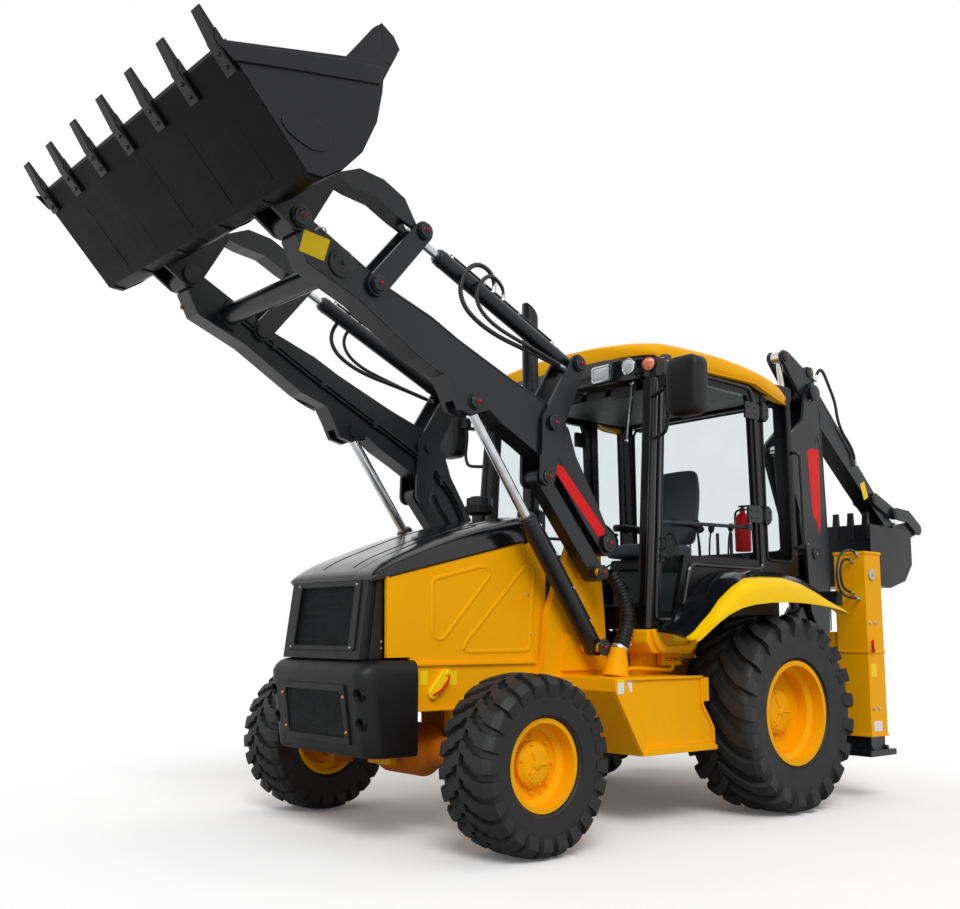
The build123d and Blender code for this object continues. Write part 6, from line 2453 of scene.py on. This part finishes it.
@dataclass
class BoxDress(Assembly):
    """Folded panels, blank plates, hose sockets, pipes, valves, sills and skirts of the sides."""

    face: float = 960.0

    def build(self) -> None:
        """Builds the boxes' dressing."""
        fold = Form()
        fold.plate([
            (-1558, 802), (-1558, 872), (-1467, 872), (-1338, 597), (-1305, 540), (-1305, 432), (-1328, 432)
        ], self.face, self.face + 16, corner=4)
        fold.plate(
            [(-1330, 432), (-1305, 474), (-690, 474), (-662, 456), (-662, 432)], self.face, self.face + 26
        )
        fold.plate([(-1470, 858), (-1470, 874), (-764, 874), (-764, 858)], self.face, self.face + 12)
        fold.plate([(-786, 700), (-786, 872), (-764, 872), (-764, 700)], self.face, self.face + 12)
        fold.plate([
            (-786, 700), (-764, 700), (-666, 562), (-664, 470), (-682, 470), (-686, 556)
        ], self.face, self.face + 12)
        self.piece("box_folds", fold.both(), YELLOW, Slot.YELLOW, bevel=3)
        white = Form().plate(
            stadium((-1512, 826), 26, 40, 4), self.face + 16, self.face + 16.8
        ).plate(stadium((-1422, 826), 22, 32, 4), self.face, self.face + 1.0)
        self.piece("blank_plates_white", white.both(), FILM_WHITE, Slot.YELLOW)
        head = Form().plate(stadium((-1512, 858), 26, 8, 3), self.face + 16.8, self.face + 17.4)
        self.piece("blank_plate_heads", head.both(), FILM_YELLOW, Slot.YELLOW)
        socket = Form().turned([
            (0, 74), (6, 78), (70, 70), (150, 52), (170, 54), (172, 44), (150, 40)
        ], (700, -1246, 868), (0, 0.15, 1), 32)
        self.piece("hose_sockets", socket.both(), YELLOW, Slot.YELLOW, smooth=40)
        pipe = Form().bent([
            (700, -1155, 890), (704, -1120, 912), (704, -900, 906), (704, -760, 900), (704, -728, 914),
            (704, -722, 960)
        ], 5, 13, 12)
        self.piece("yellow_pipes", pipe.both(), YELLOW, Slot.YELLOW)
        manifold = Form().block((655, -815, 925), (700, -630, 1004))
        self.piece("valve_manifolds", manifold.both(), YELLOW, Slot.YELLOW, bevel=4)
        studs = Form()
        for index in range(4):
            studs.bolt((700, -790 + index * 46, 965), ACROSS, 13)
            studs.turned([(10, 8), (26, 8), (30, 5)], (700, -790 + index * 46, 965), ACROSS, 14)
        self.piece("valve_studs", studs.both(), BRASS, Slot.STEEL, bevel=0.8)
        sill = Form().plate([
            (-1058, 1150), (-1064, 1070), (-1010, 1004), (-650, 1000), (-596, 1056), (-592, 1150)
        ], 556, 792, corner=18)
        outer = rounded_outline(
            [(-1040, 1150), (-1007, 1060), (-957, 1010), (-669, 1018), (-600, 1070), (-594, 1150)], 20, 5
        )
        inner = rounded_outline(
            [(-960, 1134), (-938, 1074), (-894, 1050), (-700, 1054), (-656, 1082), (-650, 1134)], 20, 5
        )
        rim = [
            [(x, y, z) for y, z in line]
            for x, line in ((790, outer), (816, outer), (816, inner), (796, inner))
        ]
        sill.rings(rim, closed=True)
        self.piece("door_sills", sill.both(), ROOF_YELLOW, Slot.PLASTIC, bevel=5)
        skirt = Form().plate(
            [(-1740, 958), (-1560, 958), (-1560, 1700), (-1640, 1690), (-1740, 1640)], 416, 428
        )
        self.piece("tower_skirts", skirt.both(), YELLOW, Slot.YELLOW, bevel=2)
        plate = Form().plate(stadium((-760, 1098), 62, 20, 4), 792, 797)
        plate.plate(stadium((-760, 1098), 54, 13, 3), 797, 798.5)
        self.piece("sill_plates", plate.both(), FILM_YELLOW, Slot.YELLOW, bevel=1)


# ---------------------------------------------------------------- hoses and their sleeves
def along_tilt(run: float, up: float, x: float = 590.0) -> Point:
    """A point by its distance along the tilt cylinder's axis and above it.

    Args:
        run: distance along the axis.
        up: distance above it.
        x: the place across.

    Returns:
        The point.
    """
    return (x, -1519 - 0.9087 * run + 0.4178 * up, 2737 + 0.4178 * run + 0.9087 * up)


def at_plane(x: float, spots: Sequence[Pair]) -> tuple[Point, ...]:
    """A flat route of (y, z) points laid in one plane across the machine."""
    return tuple((x, y, z) for y, z in spots)


def both_hoses(
    name: str, route: Sequence[Point], body: str, diameter: float = 22.0, guarded: bool = True
) -> list[Assembly]:
    """The same hose on the left and on the right side.

    Args:
        name: the hoses' name, to which the side is added.
        route: the left hose's route.
        body: the body that they ride on.
        diameter: the hose's diameter in millimetres.
        guarded: whether a coiled guard covers it.

    Returns:
        The two hoses.
    """
    other = tuple((-x, y, z) for x, y, z in route)
    return [
        Hose(name + "_left", tuple(route), body, diameter, guarded),
        Hose(name + "_right", other, body, diameter, guarded)
    ]


@dataclass
class Sleeves(Assembly):
    """Corrugated sleeves that carry the hose bundles up to the lift arms."""

    radius: float = 44.0
    fold: float = 4.0
    pitch: float = 24.0

    def build(self) -> None:
        """Builds the sleeves and their clamps."""
        line = smooth_line([
            (700, -1222, 1010), (702, -1172, 1100), (694, -1128, 1200), (668, -1108, 1300),
            (628, -1118, 1400), (590, -1146, 1490)
        ], 14)
        sleeve = Form().tube(
            line, lambda s: self.radius + self.fold * math.sin(2 * math.pi * s / self.pitch), 20
        )
        self.piece("hose_sleeves", sleeve.both(), TRIM_BLACK, Slot.TRIM, smooth=60)
        clamp = Form().turned([
            (0, self.radius + 3), (1, self.radius + 8), (21, self.radius + 8), (22, self.radius + 3)
        ], line[3], line[4] - line[3], 32)
        clamp.block((690, -1130, 1046), (712, -1112, 1066))
        self.piece("sleeve_clamps", clamp.both(), STEEL, Slot.STEEL, bevel=1)


HOSES: list[Assembly] = [
    *both_hoses("tilt_hose_front", [along_tilt(*p) for p in (
        (700, 66), (712, 130), (790, 168), (880, 140), (950, 20, 630), (960, -110, 652), (890, -190, 652),
        (760, -212, 650), (600, -196, 646), (420, -150, 640), (240, -104, 640), (110, -76, 640),
        (50, -58, 640)
    )], "tilt_barrels"),
    *both_hoses("tilt_hose_rear", [along_tilt(*p) for p in (
        (620, 66), (628, 122), (700, 150), (790, 110, 630), (850, 10, 664), (850, -90, 664),
        (780, -150, 664), (650, -166, 664), (480, -140, 662), (300, -106, 660), (160, -80, 655),
        (60, -64, 650)
    )], "tilt_barrels", 18.0),
    *both_hoses("stabiliser_hose_upper", at_plane(1075, (
        (862, 1670), (800, 1704), (700, 1698), (619, 1660), (578, 1556), (590, 1450), (650, 1392),
        (750, 1372), (862, 1368)
    )), "chassis", 18.0, False),
    *both_hoses("stabiliser_hose_lower", at_plane(
        1035, ((862, 1630), (800, 1646), (726, 1636), (690, 1560), (705, 1462), (770, 1416), (862, 1410))
    ), "chassis", 18.0, False),
    Hose("dipper_hose_outer", at_plane(338, (
        (1600, 3160), (1640, 3250), (1710, 3266), (1784, 3160), (1880, 3021), (1904, 2880), (1970, 2770),
        (2060, 2700), (2130, 2620), (2160, 2520)
    )), "dipper", 20.0, True),
    Hose("dipper_hose_inner", at_plane(162, (
        (1600, 3160), (1650, 3240), (1730, 3240), (1800, 3140), (1850, 3000), (1880, 2870), (1950, 2760),
        (2040, 2690), (2110, 2610), (2150, 2520)
    )), "dipper", 20.0, True),
    Hose("boom_hose_outer", at_plane(338, (
        (1400, 1820), (1320, 1900), (1300, 2050), (1330, 2250), (1370, 2450), (1400, 2650), (1440, 2860),
        (1500, 2980)
    )), "backhoe_boom", 20.0, True),
]


ASSEMBLIES: tuple[Assembly, ...] = (
    FrontEnd(),
    EngineCover(),
    Chassis(),
    CabShell(),
    CabInside(),
    LoaderArms(),
    BucketDress(),
    RearFrame(),
    BackhoeDress(),
    Pivot("boom_pivot", (-1259, 1667), 58, 674, "chassis"),
    Pivot("level_base", (-1319, 1488), 44, 674, "chassis"),
    Pivot("lift_base", (-1320, 1042), 50, 674, "chassis"),
    Pivot("crank_mid", (-1740, 2348), 46, 700, "loader_boom"),
    Pivot("crank_low", (-1781, 2027), 40, 685, "bell_cranks"),
    Pivot("lift_eye", (-2323, 2401), 42, 672, "loader_boom"),
    Pivot("crank_top", (-1519, 2737), 40, 701, "tilt_pins"),
    Pivot("lever_foot", (-3018, 2926), 40, 701, "lever_pins"),
    Pivot("lever_top", (-2713, 3286), 40, 701, "link_pins"),
    Pivot("bucket_hinge", (-3498, 3176), 48, 701, "bucket_pins"),
    Ram("lift_barrels", (-1320, 1042), (-2323, 2401), 590, 55, 30, 900, pair=True),
    Ram("tilt_barrels", (-1519, 2737), (-2713, 3286), 590, 48, 24, 1110, side=-1.0, pair=True),
    Ram("backhoe_boom_barrel", (1330, 1280), (1170, 2540), 250, 38, 22, 1212),
    Ram("backhoe_dipper_barrel", (1490, 1748), (1220, 3300), 250, 40, 24, 880),
    Ram("backhoe_bucket_barrel", (1550, 3220), (2720, 2150), 250, 38, 22, 900),
    BumperShell(),
    RoofShell(),
    Fender(),
    BoxDress(),
    Sleeves(),
    *HOSES,
)


# ---------------------------------------------------------------- finishes of the frame's own nodes
NODE_FINISH: dict[Finish, tuple[str, ...]] = {
    YELLOW: (
        "main_frame", "side_panels", "side_tanks", "rear_frame", "front_left_rim", "front_right_rim",
        "rear_left_rim", "rear_right_rim",
    ),
    AXLE_PAINTED_SHADE_YELLOW: ("axles", "left_knuckle", "right_knuckle"),
    FENDER: ("fenders",),
    ROOF_YELLOW: ("cab_roof",),
    HOOD_BLACK: ("engine_hood",),
    GRAIN_BLACK: ("bumper", "grille_panel"),
    IRON: ("engine_block",),
    TRIM_GREY: ("cab_fittings",),
    CLOTH: ("seat",),
    GLASS: ("cab_glass", "left_door_glass", "right_door_glass"),
    RUBBER: ("front_left_tyre", "front_right_tyre", "rear_left_tyre", "rear_right_tyre"),
    DARK: ("loader_bucket", "backhoe_bucket"),
    CAB_BLACK: ("cab_frame", "left_door", "right_door"),
    CHROME: ("lift_rods", "tilt_rods", "backhoe_boom_rod", "backhoe_dipper_rod", "backhoe_bucket_rod"),
    TRIM_BLACK: ("steering_wheel",),
}


def dress_nodes() -> None:
    """Gives every CAD node its finish; what is not listed is black enamel."""
    finish_of = {node: finish for finish, nodes in NODE_FINISH.items() for node in nodes}
    for name, node in frame["nodes"].items():
        finish = finish_of.get(name, BLACK)
        node.data.materials.clear()
        node.data.materials.append(finish.material())
        LOG.info("node %s: %s", name, finish.label)


@dataclass
class Studio:
    """Pale floor, plain soft light and the camera.

    Attributes:
        eye: the camera's place in machine millimetres.
        yaw, pitch, roll: its turns in degrees.
        focal, middle, picture: focal length, principal point and picture size, all in one unit.
        floor_half: half the floor's width in metres.
        fade: distances in metres between which the floor fades to white.
        lift: the floor's own glow.
        sky: strength of the light from all round.
        key, key_spread, key_way: strength, spread in degrees and direction of the sun.
        dim: the floor's grey for bounced light.
        pale: the floor's greys as they are seen.
        sensor: the camera's sensor width in millimetres.
        clip: the camera's nearest and furthest distance in metres.
    """

    eye: Point = (5243.0, -6292.0, 1137.0)
    yaw: float = -50.64
    pitch: float = 7.70
    roll: float = 0.28
    focal: float = 1107.9
    middle: Pair = (446.0, 480.5)
    picture: Pair = (960.0, 909.0)
    floor_half: float = 400.0
    fade: Pair = (3.0, 5.2)
    lift: float = 0.05
    sky: float = 0.70
    key: float = 1.65
    key_spread: float = 25.0
    key_way: Point = (-0.62, 0.48, -0.72)
    dim: float = 0.42
    pale: Pair = (0.93, 0.96)
    sensor: float = 36.0
    clip: Pair = (0.1, 2000.0)

    def floor(self) -> None:
        """A wide pale floor that keeps the shadow."""
        mesh = bpy.data.meshes.new("floor")
        h = self.floor_half
        mesh.from_pydata([(-h, -h, 0), (h, -h, 0), (h, h, 0), (-h, h, 0)], [], [(0, 1, 2, 3)])
        graph = Graph("studio_floor")
        cloud = graph.band(graph.noise(0.4, 2.0), 0.3, 0.7)
        dim, pale_low, pale_high = ((grey, grey, grey, 1) for grey in (self.dim, *self.pale))
        colour = graph.mix(graph.seen(gloss=False), dim, graph.mix(cloud, pale_low, pale_high))
        near = graph.add("ShaderNodeBsdfDiffuse", None, {"Color": colour})
        strength = graph.seen(gloss=False) * self.lift
        lift = graph.add("ShaderNodeEmission", None, {"Color": WHITE, "Strength": strength})
        near = graph.add("ShaderNodeAddShader", None, {0: near, 1: lift})
        far = graph.add("ShaderNodeEmission", None, {"Color": WHITE, "Strength": 1.0})
        reach = graph.add("ShaderNodeVectorMath", {"operation": "LENGTH"}, {0: graph.place()}).of("Value")
        share = graph.band(reach, self.fade[0], self.fade[1]) * graph.seen()
        both = graph.add("ShaderNodeMixShader", None, {0: share, 1: near, 2: far})
        graph.add("ShaderNodeOutputMaterial", None, {"Surface": both})
        mesh.materials.append(graph.material)
        obj = bpy.data.objects.new("floor", mesh)
        bpy.context.scene.collection.objects.link(obj)

    def world(self) -> None:
        """White to the camera, in reflections and through glass; an even light elsewhere."""
        world = bpy.data.worlds.new("studio")
        bpy.context.scene.world = world
        graph = Graph("studio", world)
        strength = graph.band(graph.seen(), 0.0, 1.0, self.sky, 1.0)
        sky = graph.add("ShaderNodeBackground", None, {"Color": WHITE, "Strength": strength})
        graph.add("ShaderNodeOutputWorld", None, {"Surface": sky})

    def lamps(self) -> None:
        """A broad soft key from the front left."""
        lamp = bpy.data.lights.new("key", "SUN")
        lamp.energy, lamp.angle = self.key, math.radians(self.key_spread)
        obj = bpy.data.objects.new("key", lamp)
        obj.rotation_euler = Vector(self.key_way).to_track_quat("-Z", "Y").to_euler()
        bpy.context.scene.collection.objects.link(obj)

    def camera(self) -> None:
        """The camera, low in front of the machine's left side."""
        yaw, pitch, roll = (math.radians(a) for a in (self.yaw, self.pitch, self.roll))
        ahead = Vector((math.sin(yaw) * math.cos(pitch), math.cos(yaw) * math.cos(pitch), math.sin(pitch)))
        right = ahead.cross(Vector(UP)).normalized()
        up = right.cross(ahead)
        right, up = right * math.cos(roll) + up * math.sin(roll), up * math.cos(roll) - right * math.sin(roll)
        data = bpy.data.cameras.new("camera")
        data.sensor_fit, data.sensor_width = "HORIZONTAL", self.sensor
        data.lens = self.focal / self.picture[0] * data.sensor_width
        data.shift_x = (self.picture[0] / 2 - self.middle[0]) / self.picture[0]
        data.shift_y = (self.middle[1] - self.picture[1] / 2) / self.picture[0]
        data.clip_start, data.clip_end = self.clip
        obj = bpy.data.objects.new("camera", data)
        turn = Matrix((right, up, -ahead)).transposed().to_4x4()
        obj.matrix_world = Matrix.Translation(metres(self.eye)) @ turn
        bpy.context.scene.collection.objects.link(obj)
        bpy.context.scene.camera = obj

    def build(self) -> None:
        """Sets the whole studio."""
        bpy.context.scene.view_settings.view_transform = "Standard"
        self.floor()
        self.world()
        self.lamps()
        self.camera()


def main() -> None:
    """Builds the machine's dressed pieces and the studio in order."""
    logging.basicConfig(level=logging.INFO, format="%(message)s")
    Studio().build()
    dress_nodes()
    for row, tread, sizes in (("front", Tread.FRONT, FRONT_WHEEL), ("rear", Tread.REAR, REAR_WHEEL)):
        for side in ("left", "right"):
            Wheel(f"{row}_{side}", tread, **sizes).build()
    for assembly in ASSEMBLIES:
        assembly.build()


if __name__ == "__main__":
    main()
